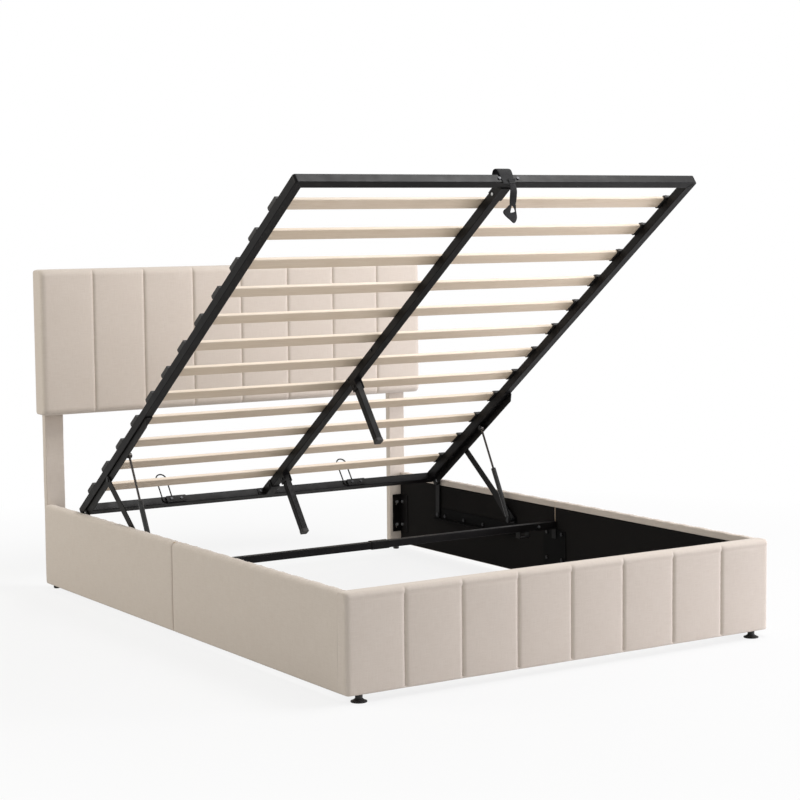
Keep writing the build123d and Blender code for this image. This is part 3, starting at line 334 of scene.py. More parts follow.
def two_finish_bolts(tree, join, *tests):
    """Bolts in two finishes: zinc-plated where two tests of place, joined, give 1, else black.

    A test compares the distance from the bed's middle plane, the place along the bed or the
    height with a limit.
    """
    place, wear, dark = mottled(tree, 300.0, 4.0, *BLACK_OXIDE)
    bright = layered(tree, BRIGHT_ZINC[0], (wear, BRIGHT_ZINC[1]))
    split = add_node(tree, "SeparateXYZ", {"Vector": place}).node.outputs
    aside = add_node(tree, "Math", {0: split["X"]}, operation="ABSOLUTE")
    measures = {"aside": aside, "along": split["Y"], "height": split["Z"]}
    answers = [
        add_node(tree, "Math", {0: measures[measure], 1: limit}, operation=test)
        for measure, test, limit in tests
    ]
    share = add_node(tree, "Math", dict(enumerate(answers)), operation=join)
    return {"Base Color": layered(tree, dark, (share, bright)), "Metallic": 1.0, "Roughness": 0.35}


def base_bolts(tree):
    """Bolts of the base: zinc-plated at the headboard legs and on the cross bar, where they
    show as bright dots, and blackened on the rails."""
    return two_finish_bolts(
        tree, "MAXIMUM", ("along", "GREATER_THAN", 1.0), ("aside", "LESS_THAN", 0.745))


def frame_bolts(tree):
    """Bolts of the platform: zinc-plated at the beam's upper end, elsewhere blackened."""
    return two_finish_bolts(
        tree, "MULTIPLY", ("aside", "LESS_THAN", 0.03), ("height", "GREATER_THAN", 1.3))


def birch_slats(tree):
    """Birch plywood under clear lacquer: pale grain in streaks 3 mm wide and 90 mm long, and a
    darker ply every 3 mm."""
    colours = bpy.context.scene.bed_colours
    place = add_node(tree, "TexCoord", out="Object")
    turned = add_node(
        tree, "Mapping",
        {"Vector": place, "Location": tuple(DECK_ORIGIN), "Rotation": (-DECK_TILT, 0.0, 0.0)},
        vector_type="TEXTURE",
    )
    stretched = add_node(tree, "Mapping", {"Vector": turned, "Scale": (0.035, 1.0, 1.0)})
    grain = add_node(
        tree, "TexNoise",
        {"Vector": stretched, "Scale": 320.0, "Detail": 5.0, "Roughness": 0.65}, "Fac",
    )
    broad = add_node(tree, "TexNoise", {"Vector": stretched, "Scale": 26.0, "Detail": 2.0}, "Fac")
    height = add_node(tree, "SeparateXYZ", {"Vector": turned}, "Z")
    plies = add_node(tree, "Math", {0: height, 1: 1 / (1.5 * MM)}, operation="MULTIPLY")
    ply = add_node(tree, "Math", {0: plies, 1: 1.0}, operation="PINGPONG")
    shares = [
        add_node(tree, "MapRange", {
            "Value": value, "From Min": low, "From Max": high, "To Max": most})
        for value, low, high, most in (
            (grain, 0.42, 0.72, 0.6), (broad, 0.35, 0.65, 0.3), (ply, 0.62, 0.8, 0.32),
        )
    ]
    return {
        "Base Color": layered(
            tree, colours.birch, *zip(shares, (colours.birch_grain, "#D2C0A5", "#A98C64"))),
        "Normal": add_node(tree, "Bump", {"Height": grain, "Strength": 0.15, "Distance": 0.0002}),
        "Roughness": 0.48, "Specular IOR Level": 0.35,
    }


def raw_board(tree):
    """Particle board and sawn pine inside the covers: chips 4 mm across in warm browns."""
    place = add_node(tree, "TexCoord", out="Object")
    chips = add_node(
        tree, "TexVoronoi", {"Vector": place, "Scale": 260.0, "Randomness": 1.0}, "Distance")
    return {"Base Color": layered(tree, "#C7A87B", (chips, "#8E6F47")), "Roughness": 0.85}


def moulded_black(tree):
    """Moulded black polypropylene: satin, with the 0.7 mm grain of an etched mould."""
    place, _, tone = mottled(tree, 40.0, 3.0, "#1B1A19", "#282625")
    etch = add_node(tree, "TexNoise", {"Vector": place, "Scale": 1500.0, "Detail": 2.0}, "Fac")
    bump = add_node(tree, "Bump", {"Height": etch, "Strength": 0.25, "Distance": 0.0001})
    return {"Base Color": tone, "Normal": bump, "Roughness": 0.55}


def strap_webbing(tree):
    """Black woven polypropylene webbing: dull, with ribs across and along it.

    Real ribs are about 2 mm apart; those across are drawn 4 mm apart so that they can show.
    """
    plan = add_node(tree, "UVMap", uv_map="cloth_plan")
    ribs = [
        add_node(tree, "TexWave", {"Vector": plan, "Scale": scale, "Distortion": 0.6}, "Fac",
                 bands_direction=direction)
        for direction, scale in (("X", BANDS_4_MM), ("Y", 120.0))
    ]
    weave = add_node(tree, "Math", dict(enumerate(ribs)), operation="MULTIPLY")
    return {
        "Base Color": layered(tree, "#080808", (weave, "#191919")),
        "Normal": add_node(tree, "Bump", {"Height": weave, "Strength": 0.5, "Distance": 0.0005}),
        "Roughness": 0.85, "Sheen Weight": 0.04,
    }


# Finishes of one mottled tone: scale (1 / patch size in m), detail, two colours, other inputs
PLAIN_FINISHES = {
    # Matt black powder coat of the plates on the rails, which hardly stand out from the lining:
    # darker than the other powder coat, as painted shade of the bed's inside
    "powder_coated_steel_matt": (
        22.0, 6.0, "#060606", "#0B0B0B", {"Roughness": 0.7, "Specular IOR Level": 0.08}),
    # Black enamel of the strut cylinders: smooth and glossy
    "strut_enamel_black": (
        60.0, 3.0, "#121212", "#1C1C1D",
        {"Roughness": 0.22, "Coat Weight": 0.4, "Coat Roughness": 0.1}),
    # Ground and nitrided piston rod: dark and half mirror, with a grey speckle under 1 mm
    "nitrided_steel_rod": (
        1200.0, 1.0, "#4B4745", "#625E5B", {"Metallic": 1.0, "Roughness": 0.22}),
    # Blackened and oiled steel: dark grey with a dull shine and worn patches 3 mm across
    "black_oxide_steel": (300.0, 4.0, *BLACK_OXIDE, {"Metallic": 1.0, "Roughness": 0.42}),
}

MADE_FINISHES = {
    SOFT_CLOTH: weave_cloth,
    FELT_CLOTH: felt_lining,
    COATED_STEEL: powder_coat,
    "zinc_plated_steel": zinc_plate,
    "zinc_and_black_base_bolts": base_bolts,
    "zinc_and_black_frame_bolts": frame_bolts,
    "lacquered_birch_plywood": birch_slats,
    "raw_particle_board": raw_board,
    "moulded_polypropylene_black": moulded_black,
    "woven_webbing_black": strap_webbing,
}


def bed_shader(tree, name):
    """The shader of a finish, with the inputs that its table row or function gives."""
    if name in PLAIN_FINISHES:
        *patches, inputs = PLAIN_FINISHES[name]
        inputs = {"Base Color": mottled(tree, *patches)[2], **inputs}
    else:
        inputs = MADE_FINISHES[name](tree)
    return add_node(tree, "BsdfPrincipled", inputs)


def emptied_tree(owner):
    """The node tree of a new material or world, without its first nodes."""
    owner.use_nodes = True
    owner.node_tree.nodes.clear()
    return owner.node_tree


def finish_of(name):
    """A finish of this bed by its material's name, made the first time that it is asked for."""
    material = bpy.data.materials.get(name)
    if material is None:
        material = bpy.data.materials.new(name)
        tree = emptied_tree(material)
        add_node(tree, "OutputMaterial", {"Surface": bed_shader(tree, name)})
    return material


def dress(names, finish):
    """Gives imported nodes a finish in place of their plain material."""
    for name in names:
        NODES[name].data.materials.clear()
        NODES[name].data.materials.append(finish_of(finish))


# Surfaces


def stacked(*parts):
    """Arrays that are broadcast against each other and joined along a new last axis."""
    return np.stack(np.broadcast_arrays(*parts), axis=-1)


def grid_faces(rows, columns):
    """Quads between neighbours of a grid whose points are stored row by row."""
    index = np.arange(rows * columns).reshape(rows, columns)
    corners = (index[:-1, :-1], index[:-1, 1:], index[1:, 1:], index[1:, :-1])
    return np.stack([c.ravel() for c in corners], axis=1)


def surface_piece(name, grids, body, finish, nodes=()):
    """One object from grids given as (points, uv), merged where they meet, facing outwards."""
    points, uvs, faces = [], [], []
    start = 0
    for grid, uv in grids:
        rows, columns = grid.shape[:2]
        faces.append(grid_faces(rows, columns) + start)
        points.append(grid.reshape(-1, 3))
        uvs.append(uv.reshape(-1, 2))
        start += rows * columns
    points, uvs, faces = np.concatenate(points), np.concatenate(uvs), np.concatenate(faces)
    mesh = bpy.data.meshes.new(name)
    mesh.from_pydata(points.tolist(), [], faces.tolist())
    layer = mesh.uv_layers.new(name="cloth_plan")
    layer.data.foreach_set("uv", uvs[faces.ravel()].astype(np.float32).ravel())
    shape = bmesh.new()
    shape.from_mesh(mesh)
    bmesh.ops.remove_doubles(shape, verts=shape.verts, dist=0.02 * MM)
    bmesh.ops.dissolve_degenerate(shape, edges=shape.edges, dist=0.02 * MM)
    bmesh.ops.recalc_face_normals(shape, faces=shape.faces)
    shape.to_mesh(mesh)
    shape.free()
    mesh.polygons.foreach_set("use_smooth", [True] * len(mesh.polygons))
    piece = bpy.data.objects.new(name, mesh)
    bpy.context.scene.collection.objects.link(piece)
    mesh.materials.append(finish_of(finish))
    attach(piece, body)
    if nodes:
        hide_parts(*nodes)
    return piece


def end_cap(ring, spine, shares, plan=None):
    """The closing of an open end: its last ring drawn to a line in these shares.

    Its cloth lies along the two axes of the plan, or is one point where none is given.
    """
    cap = ring + (spine - ring) * np.array(shares)[:, None, None]
    return cap, np.zeros(cap.shape[:2] + (2,)) if plan is None else cap[..., list(plan)]


def rounded_loop(corners, spacing):
    """A closed outline with rounded corners, given as (a, b, radius), in steps of about this.

    Each arc is tangent to both sides of its corner: it starts and ends at radius times the
    tangent of half the turn from the corner. Straight runs between arcs are divided evenly.
    """
    corners = np.asarray(corners, float)
    places = corners[:, :2]
    count = len(places)
    arcs = []
    for i, radius in enumerate(corners[:, 2]):
        before, here, after = places[i - 1], places[i], places[(i + 1) % count]
        if radius <= 0:
            arcs.append(here[None])
            continue
        back = (before - here) / np.linalg.norm(before - here)
        ahead = (after - here) / np.linalg.norm(after - here)
        half = math.acos(np.clip(back @ ahead, -1, 1)) / 2
        centre = here + (back + ahead) / np.linalg.norm(back + ahead) * radius / math.sin(half)
        first = here + back * radius / math.tan(half) - centre
        last = here + ahead * radius / math.tan(half) - centre
        turn = math.pi - 2 * half
        steps = max(3, int(math.ceil(radius * turn / min(spacing, 1.6 * MM))))
        t = np.linspace(0, 1, steps + 1)[:, None]
        arcs.append(
            centre + (np.sin((1 - t) * turn) * first + np.sin(t * turn) * last) / math.sin(turn)
        )
    runs = []
    for i, arc in enumerate(arcs):
        way = arcs[(i + 1) % count][0] - arc[-1]
        steps = max(1, int(round(np.linalg.norm(way) / spacing)))
        t = np.linspace(0, 1, steps + 1)[1:-1, None]
        runs += [arc, arc[-1] + way * t]
    loop = np.concatenate(runs)
    return np.concatenate([loop, loop[:1]])


def path_lengths(loop):
    """Distance along an outline at each of its points."""
    steps = np.linalg.norm(np.diff(loop, axis=0), axis=1)
    return np.concatenate([[0], np.cumsum(steps)])


def outward(loop):
    """Unit normals of a closed outline, square to the step between each point's neighbours
    and pointing out of it."""
    inner = loop[:-1]
    along = np.roll(inner, -1, 0) - np.roll(inner, 1, 0)
    normal = np.stack([-along[:, 1], along[:, 0]], axis=1)
    normal /= np.linalg.norm(normal, axis=1)[:, None]
    if np.sum(normal * (inner - inner.mean(0))) < 0:
        normal = -normal
    return np.concatenate([normal, normal[:1]])


def outline(corners, spacing):
    """A rounded outline, its outward normals and the distance along it."""
    loop = rounded_loop(corners, spacing)
    return loop, outward(loop), path_lengths(loop)


def smooth_step(value, start, end):
    """A smooth step from 0 at start to 1 at end."""
    t = np.clip((value - start) / (end - start), 0, 1)
    return t * t * (3 - 2 * t)


def quarter_round(gap, radius):
    """How far a quarter circle draws a surface back at this distance from its end."""
    drop = radius - np.sqrt(np.maximum(radius ** 2 - (radius - gap) ** 2, 0))
    return np.where(gap < radius, drop, 0)


def folds(along, across, seed):
    """Small uneven folds: three sines whose phases wander with the distance across."""
    return (
        np.sin(along / (3.1 * MM) + 2.0 * np.sin(across / 0.013 + seed) + seed)
        + 0.6 * np.sin(along / (1.9 * MM) + 3.0 * np.sin(across / 0.021 + 2 * seed))
        + 0.5 * np.sin(along / (5.7 * MM) + seed * 1.7)
    ) / 2.1


def soft_waves(along, across, seed):
    """Broad shallow unevenness of foam under cloth: a sine along and one across, each with a
    phase that wanders with the other direction."""
    return (
        np.sin(along / 0.047 + 1.3 * np.sin(across / 0.061 + seed))
        + np.sin(across / 0.039 + 1.7 * np.sin(along / 0.083 + seed * 2))
    ) / 2


# Upholstery


def pad_columns(width):
    """Places across a channelled pad, packed close beside each seam, and each one's channel
    share from -1 at its left seam to 1 at its right one."""
    t = np.sin(np.linspace(-math.pi / 2, math.pi / 2, CHANNEL_COLUMNS + 1))
    step = width / CHANNELS
    places = [(i + 0.5) * step - width / 2 + t * step / 2 for i in range(CHANNELS)]
    x = np.concatenate([p[:-1] for p in places] + [[width / 2]])
    share = np.concatenate([t[:-1]] * CHANNELS + [[1.0]])
    return x, share


def channelled_board(box, radii, sizes, spacing, end_radius, seed, roll_seam=None):
    """A padded board: a rounded outline in Y and Z carried across the bed.

    Each point moves along the outline's normal by the crown, which is the channel's depth
    times the 2.4th power of the distance from the channel's middle, plus a pillowed edge that
    dies away over 4 mm and a narrow groove at each seam. The move fades on the top, bottom
    and back by how far the normal turns from the front, and is half as deep above the roll's
    crease. Near both ends the front draws back along a quarter circle. The ends close in flat
    rings that shrink to the board's middle line. Behind, the cloth stands back for the lining
    inside a hem that runs round all four sides.
    """
    (left, front, low), (right, back, high) = box
    width, depth = right - left, back - front
    inside = back - BACK_RECESS
    loop, normal, lengths = outline([
        (back, low, radii[0]), (front, low, radii[1]),
        (front, high, radii[2]), (back, high, radii[3]),
        (back, high - BACK_HEM, 0), (inside, high - BACK_HEM - MM, 0),
        (inside, low + BACK_HEM + MM, 0), (back, low + BACK_HEM, 0),
    ], spacing)
    x, share = pad_columns(width)
    across, z = x[:, None], loop[:, 1]
    half_channel = width / CHANNELS / 2
    seam_gap = (1 - np.abs(share)) * half_channel
    inner_seam = np.abs(np.abs(x) - width / 2) > half_channel
    crown = 0.8 * sizes.channel_depth * np.abs(share) ** 2.4
    groove = sizes.seam_depth * (
        0.9 * np.exp(-(seam_gap / (0.5 * sizes.seam_width)) ** 2)
        + 0.5 * np.exp(-seam_gap / (4 * MM))
    )
    dip = (crown + np.where(inner_seam, groove, 0))[:, None]
    facing = np.clip(-normal[:, 0], 0, 1) ** 1.5
    near = (np.exp(-(seam_gap / (7 * MM)) ** 2) * inner_seam)[:, None]
    ripple = sizes.pucker * near * folds(z, across, seed)
    swell = 0.5 * MM * soft_waves(across, z, seed)
    shift = (ripple + swell - dip) * facing
    if roll_seam is not None:
        shift = shift * (1 - 0.5 * smooth_step(z, roll_seam - 5 * MM, roll_seam + 5 * MM))
        pull = 1.1 * MM * np.exp(-((z - roll_seam) / (5 * MM)) ** 2)
        close = sizes.pucker * 0.7 * np.exp(-((z - roll_seam) / (8 * MM)) ** 2)
        shift = shift + (close * folds(across, z, seed + 1) - pull) * facing
    moved = loop + shift[..., None] * normal
    points = stacked(across, moved[..., 0], moved[..., 1])
    edge = (width / 2 - np.abs(x))[:, None]
    points[..., 1] += BACK_RECESS * ((edge < BACK_HEM) & np.isclose(loop[:, 0], inside))
    drawn = quarter_round(edge, end_radius)
    points[..., 1] += drawn * np.clip((back - points[..., 1]) / depth, 0, 1)
    off_middle = (points[..., 2] - (low + high) / 2) / (high - low) * 2
    points[..., 2] -= 0.35 * drawn * off_middle ** 5
    grids = [(points, stacked(lengths, across))]
    for ring in points[[0, -1]]:
        spine = ring.copy()
        spine[:, 1] = (front + back) / 2 + 2 * MM
        spine[:, 2] = np.clip(ring[:, 2], low + depth / 2, high - depth / 2)
        grids.append(end_cap(ring, spine, (0, 0.06, 0.16, 0.35, 0.6, 0.85, 1), (2, 1)))
    return grids


class BED_OT_headboard(bpy.types.Operator):
    """Padded headboard with eight sewn channels"""

    bl_idname = "bed.headboard"
    bl_label = "Headboard cushion"

    def execute(self, context):
        radii = (8 * MM, 25 * MM, 25 * MM, 8 * MM)
        grids = channelled_board(
            HEADBOARD, radii, context.scene.bed_sizes, 5 * MM, 18 * MM, 0.7)
        piece = surface_piece(
            "headboard_cushion", grids, "bed_base", SOFT_CLOTH, ["headboard_cover"])
        return {"FINISHED"}


class BED_OT_footboard(bpy.types.Operator):
    """Padded footboard: eight channels under a plain roll"""

    bl_idname = "bed.footboard"
    bl_label = "Footboard cushion"

    def execute(self, context):
        sizes = context.scene.bed_sizes
        radii = (2 * MM, 6 * MM, 15 * MM, 5 * MM)
        roll_seam = FOOTBOARD[1][2] - sizes.top_roll
        grids = channelled_board(FOOTBOARD, radii, sizes, 3.5 * MM, 13 * MM, 2.1, roll_seam)
        piece = surface_piece(
            "footboard_cushion", grids, "bed_base", SOFT_CLOTH, ["footboard_cover"])
        return {"FINISHED"}


def wrapped_rail(side, low, high, seam_end):
    """Cloth and foam round a rail: a rounded outline in X and Z carried along the rail.

    The outer face bulges by a flat parabola 1.2 mm high. The top edge has small folds and
    longer waves whose height fades within 10 mm below it. The end at the seam stops 1 mm
    short of it, rounded by 7 mm. Inside, the cloth stands back by 1.6 mm for the lining, but
    only by 0.7 mm in the lining's slit at the seam.
    """
    inner, outer = side * np.sort(np.abs([low[0], high[0]]))
    bottom, top = low[2], high[2]
    behind = inner + side * BACK_RECESS
    upper_hem, lower_hem = top - RAIL_HEM_TOP, bottom + RAIL_HEM_BOTTOM
    loop, normal, lengths = outline([
        (inner, bottom, 0.6 * MM), (outer, bottom, 6 * MM),
        (outer, top, 16 * MM), (inner, top, 4 * MM),
        (inner, upper_hem, 0), (behind, upper_hem - MM, 0),
        (behind, lower_hem + MM, 0), (inner, lower_hem, 0),
    ], 5 * MM)
    start, end = low[1], high[1]
    if seam_end == "high":
        seam = end = end - SEAM_GAP
        inwards = -1
    else:
        seam = start = start + SEAM_GAP
        inwards = 1
    y = np.linspace(start, end, int((end - start) / (3.5 * MM)))
    tight = seam + inwards * np.linspace(0, SEAM_RIM, 8)[:-1]
    y = np.sort(np.concatenate([y[np.abs(y - seam) > SEAM_RIM], tight]))[:, None]
    z = loop[:, 1]
    face = np.clip(side * normal[:, 0], 0, 1)
    visible = np.clip(face + np.clip(normal[:, 1], 0, 1), 0, 1)
    share = np.clip((z - bottom) / (top - bottom), 0, 1)
    bulge = 1.2 * MM * (4 * share * (1 - share)) - 1.4 * MM
    fold_band = np.exp(-((top - z) / (10 * MM)) ** 2) * visible
    gap = np.abs(y - seam)
    tuck = quarter_round(gap, SEAM_RIM) + 1.2 * MM * np.exp(-(gap / (10 * MM)) ** 2)
    shift = (
        bulge * face
        + 0.45 * MM * soft_waves(y, z, side + 3) * face
        + 0.9 * MM * fold_band * (folds(y, z, side * 2.0) - 0.4)
        + 0.8 * MM * fold_band * np.sin(y / 0.013 + 2 * np.sin(y / 0.09))
        - tuck * visible
    )
    moved = loop + shift[..., None] * normal
    points = stacked(moved[..., 0], y, moved[..., 1])
    flush = np.exp(-(gap / (LINING_SLIT / 2)) ** 4) * np.isclose(loop[:, 0], behind)
    points[..., 0] -= side * 0.9 * MM * flush
    grids = [(points, stacked(lengths, y))]
    for ring in points[[0, -1]]:
        spine = ring.copy()
        spine[:, 0] = (outer + inner) / 2
        spine[:, 2] = np.clip(ring[:, 2], bottom + 12 * MM, top - 12 * MM)
        grids.append(end_cap(ring, spine, (0, 0.3, 0.7, 1), (2, 0)))
    return grids


class BED_OT_rails(bpy.types.Operator):
    """Upholstered side rails, each in two lengths that meet at a seam"""

    bl_idname = "bed.rails"
    bl_label = "Rail covers"

    def execute(self, context):
        for side_name, side in SIDES.items():
            for half, seam_end in (("front", "high"), ("rear", "low")):
                node = f"rail_cover_{side_name}_{half}"
                piece = surface_piece(
                    f"rail_upholstery_{side_name}_{half}",
                    wrapped_rail(side, *low_high(node), seam_end),
                    "bed_base", SOFT_CLOTH, [node],
                )
        return {"FINISHED"}


def leg_sleeve(side, low, high):
    """Cloth round a leg: a rounded outline in X and Y carried upwards.

    It stands 0.5 mm inside the leg's box, with shallow waves and small folds, and draws in by
    1.4 mm more at the hems of both ends, which close towards the leg's middle plane.
    """
    loop, normal, lengths = outline([
        (x, y, 4 * MM) for x, y in (low[:2], (low[0], high[1]), high[:2], (high[0], low[1]))
    ], 4 * MM)
    z = np.linspace(low[2], high[2], 240)[:, None]
    hem = 1.4 * MM * np.exp(-np.minimum(z - low[2], high[2] - z) / (2.5 * MM))
    shift = (
        0.35 * MM * soft_waves(z, lengths, side + 5.0)
        + 0.2 * MM * folds(z * 0.4, lengths, side * 1.5)
        - 0.5 * MM - hem
    )
    moved = loop + shift[..., None] * normal
    points = stacked(moved[..., 0], moved[..., 1], z)
    grids = [(points, stacked(z, lengths))]
    for ring in points[[0, -1]]:
        spine = ring.copy()
        spine[:, 0] = np.clip(ring[:, 0], low[0] + 20 * MM, high[0] - 20 * MM)
        spine[:, 1] = (low[1] + high[1]) / 2
        grids.append(end_cap(ring, spine, (0, 0.1, 0.5, 1), (0, 1)))
    return grids


class BED_OT_legs(bpy.types.Operator):
    """Fabric sleeves of the headboard legs"""

    bl_idname = "bed.legs"
    bl_label = "Leg sleeves"

    def execute(self, context):
        for side_name, side in SIDES.items():
            node = f"leg_cover_{side_name}"
            piece = surface_piece(
                f"leg_sleeve_{side_name}", leg_sleeve(side, *low_high(node)),
                "bed_base", SOFT_CLOTH, [node],
            )
        return {"FINISHED"}


def cloth_panel(origin, across, width, height, normal, seed):
    """A thin upright cloth stapled flat on a board: a slab 0.7 mm thick with shallow waves.

    Both faces follow the same waves, which die away at the stapled edges, and the two faces
    are joined by the first and last columns of the wrapped outline.
    """
    u = np.linspace(0, 1, 120)[:, None]
    v = np.linspace(0, 1, 40)
    wave = 0.12 * MM * soft_waves(u * width * 1.7, v * height * 2, seed) * (4 * v * (1 - v))
    top = (
        origin + u[..., None] * width * across + v[:, None] * height * UP
        + wave[..., None] * normal
    )
    under = top - LINING_CLOTH * normal
    ring = np.concatenate([top, under[:, ::-1], top[:, :1]], axis=1)
    shares = np.concatenate([v, v[::-1], v[:1]])
    grids = [(ring, stacked(u * width, shares * height))]
    for index in (0, -1):
        edge = np.stack([top[index], under[index]])
        grids.append((edge, stacked(v * height, np.array([[0], [MM]]))))
    return grids


class BED_OT_linings(bpy.types.Operator):
    """Black non-woven linings inside the rails, behind the footboard and behind the headboard"""

    bl_idname = "bed.linings"
    bl_label = "Linings"

    def execute(self, context):
        low, high = low_high("rail_linings")
        cover_low, cover_high = low_high("rail_cover_left_front")
        seam = cover_high[1]
        bottom = cover_low[2] + RAIL_HEM_BOTTOM + LINING_GAP
        top = cover_high[2] - RAIL_HEM_TOP - LINING_GAP
        grids = []
        for side in SIDES.values():
            face = side * (high[0] - PACKED_STRIP)
            for start, end in (
                (low[1], seam - LINING_SLIT / 2), (seam + LINING_SLIT / 2, high[1]),
            ):
                grids += cloth_panel(
                    np.array([face, start, bottom]), ALONG, end - start, top - bottom,
                    -side * ACROSS, side + 4.0,
                )
        piece = surface_piece(
            "rail_lining_cloth", grids, "bed_base", FELT_CLOTH, ["rail_linings"])
        for node, name, board in (
            ("footboard_lining", "footboard_lining_cloth", "footboard_panel"),
            ("headboard_backing", "headboard_backing_cloth", "headboard_panel"),
        ):
            low, high = low_high(node)
            width, height = high[0] - low[0], high[2] - low[2]
            place = np.array([low[0], high[1] - PANEL_LINING_BACK, low[2]])
            grids = cloth_panel(place, ACROSS, width, height, ALONG, 1.0)
            piece = surface_piece(name, grids, "bed_base", FELT_CLOTH, [node])
        return {"FINISHED"}


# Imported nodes


def nodes_in_slot(slot_name):
    """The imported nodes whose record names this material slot."""
    rows = frame["record"]["subparts"]
    return [row["node"] for row in rows if row.get("material_slot") == slot_name]


class BED_OT_steelwork(bpy.types.Operator):
    """Powder-coated frame, bars, brackets, links and wire loops"""

    bl_idname = "bed.steelwork"
    bl_label = "Steelwork"

    def execute(self, context):
        coated = [name for name in nodes_in_slot("black_steel") if "cylinder" not in name]
        dress(coated, COATED_STEEL)
        # The plates on the rails and the base bars take a darker powder coat, as painted shade of
        # the bed's inside
        dress(["rail_joint_plates", "base_bar_left", "base_bar_right"], "powder_coated_steel_matt")
        return {"FINISHED"}


class BED_OT_struts(bpy.types.Operator):
    """Gas struts: enamelled cylinders and nitrided rods"""

    bl_idname = "bed.struts"
    bl_label = "Gas struts"

    def execute(self, context):
        dress(["strut_cylinder_left", "strut_cylinder_right"], "strut_enamel_black")
        dress(["strut_rod_left", "strut_rod_right"], "nitrided_steel_rod")
        return {"FINISHED"}


class BED_OT_fasteners(bpy.types.Operator):
    """Zinc-plated and blackened bolts, pins and studs"""

    bl_idname = "bed.fasteners"
    bl_label = "Fasteners"

    def execute(self, context):
        dress(["base_bolts"], "zinc_and_black_base_bolts")
        dress(["frame_bolts"], "zinc_and_black_frame_bolts")
        dress(["lift_pivot_pins"], "zinc_plated_steel")
        dress(["base_pivot_pins", "front_link_pins", "strut_studs"], "black_oxide_steel")
        return {"FINISHED"}


class BED_OT_slats(bpy.types.Operator):
    """Birch plywood slats in their moulded caps"""

    bl_idname = "bed.slats"
    bl_label = "Slats and caps"

    def execute(self, context):
        dress(["slats_foot_half", "slats_head_half"], "lacquered_birch_plywood")
        dress(["slat_caps", "glides", "leg_caps"], "moulded_polypropylene_black")
        return {"FINISHED"}


class BED_OT_boards(bpy.types.Operator):
    """Boards and posts inside the covers"""

    bl_idname = "bed.boards"
    bl_label = "Hidden boards"

    def execute(self, context):
        dress(nodes_in_slot("panel_wood"), "raw_particle_board")
        return {"FINISHED"}


# Strap and welds


def in_deck(x, reach, rise):
    """Points given across the bed, along the platform to its foot and square to it."""
    x, reach, rise = (part[..., None] for part in np.broadcast_arrays(x, reach, rise))
    return DECK_ORIGIN + x * ACROSS + reach * DECK_FOOT + rise * DECK_UP


def ribbon(line, side_step, half_width, thickness, normals):
    """A webbing band: its middle line, widened along one direction and thickened evenly.

    At each point of the line an ellipse of the band's width and thickness is laid square to
    it, flattened by the power 0.35 of its cosine and 0.7 of its sine. Both ends are closed by
    shrinking the last outline to a line.
    """
    angle = np.linspace(0, 2 * math.pi, 25)
    across = np.sign(np.cos(angle)) * np.abs(np.cos(angle)) ** 0.35
    through = np.sign(np.sin(angle)) * np.abs(np.sin(angle)) ** 0.7
    points = (
        line[:, None, :]
        + (across * half_width[:, None])[..., None] * side_step[:, None, :]
        + (through * thickness / 2)[:, None] * normals[:, None, :]
    )
    grids = [(points, stacked(path_lengths(line)[:, None], across * 0.02))]
    for index in (0, -1):
        ring = points[index]
        middle = line[index] + (ring - line[index]) @ side_step[index][:, None] * side_step[index]
        grids.append(end_cap(ring, middle, (0, 1)))
    return grids


def smooth_line(corners, per_span):
    """A Catmull-Rom curve through the given points, with this many steps in each span."""
    corners = np.asarray(corners, float)
    padded = np.concatenate([2 * corners[:1] - corners[1:2], corners,
                             2 * corners[-1:] - corners[-2:-1]])
    t = np.linspace(0, 1, per_span + 1)[:-1, None]
    spans = []
    for i in range(1, len(padded) - 2):
        a, b, c, d = padded[i - 1:i + 3]
        spans.append(0.5 * (
            2 * b + (c - a) * t + (2 * a - 5 * b + 4 * c - d) * t ** 2
            + (3 * b - a - 3 * c + d) * t ** 3
        ))
    return np.concatenate(spans + [corners[-1:]])


def flat_loop(rim, gap, corner):
    """A flat loop of folded webbing between an outer and an inner outline, given in mm.

    Both outlines are closed Catmull-Rom curves with matching points. Across the band the
    thickness is that of an ellipse to the power 0.6, and it bows out by 1.5 mm half way.
    """
    curves = []
    for points in (np.array(rim, float) * MM, np.array(gap, float) * MM):
        padded = np.concatenate([points[-2:], points, points[:3]])
        curves.append(smooth_line(padded, 8)[16:-16])
    outer, inner = curves
    angle = np.linspace(0, 2 * math.pi, 17)
    across = (1 - np.cos(angle)) / 2
    through = np.sign(np.sin(angle)) * np.abs(np.sin(angle)) ** 0.6 * STRAP_THICKNESS / 2
    flat = inner[:, None, :] + (outer - inner)[:, None, :] * across[:, None]
    bow = 1.5 * MM * np.sin(np.linspace(0, 4 * math.pi, len(outer)))[:, None]
    points = stacked(
        corner[0] + flat[..., 0], corner[1] + through + bow * across, corner[2] + flat[..., 1])
    points[-1] = points[0]
    return points, stacked(path_lengths(outer)[:, None], across * 0.02)


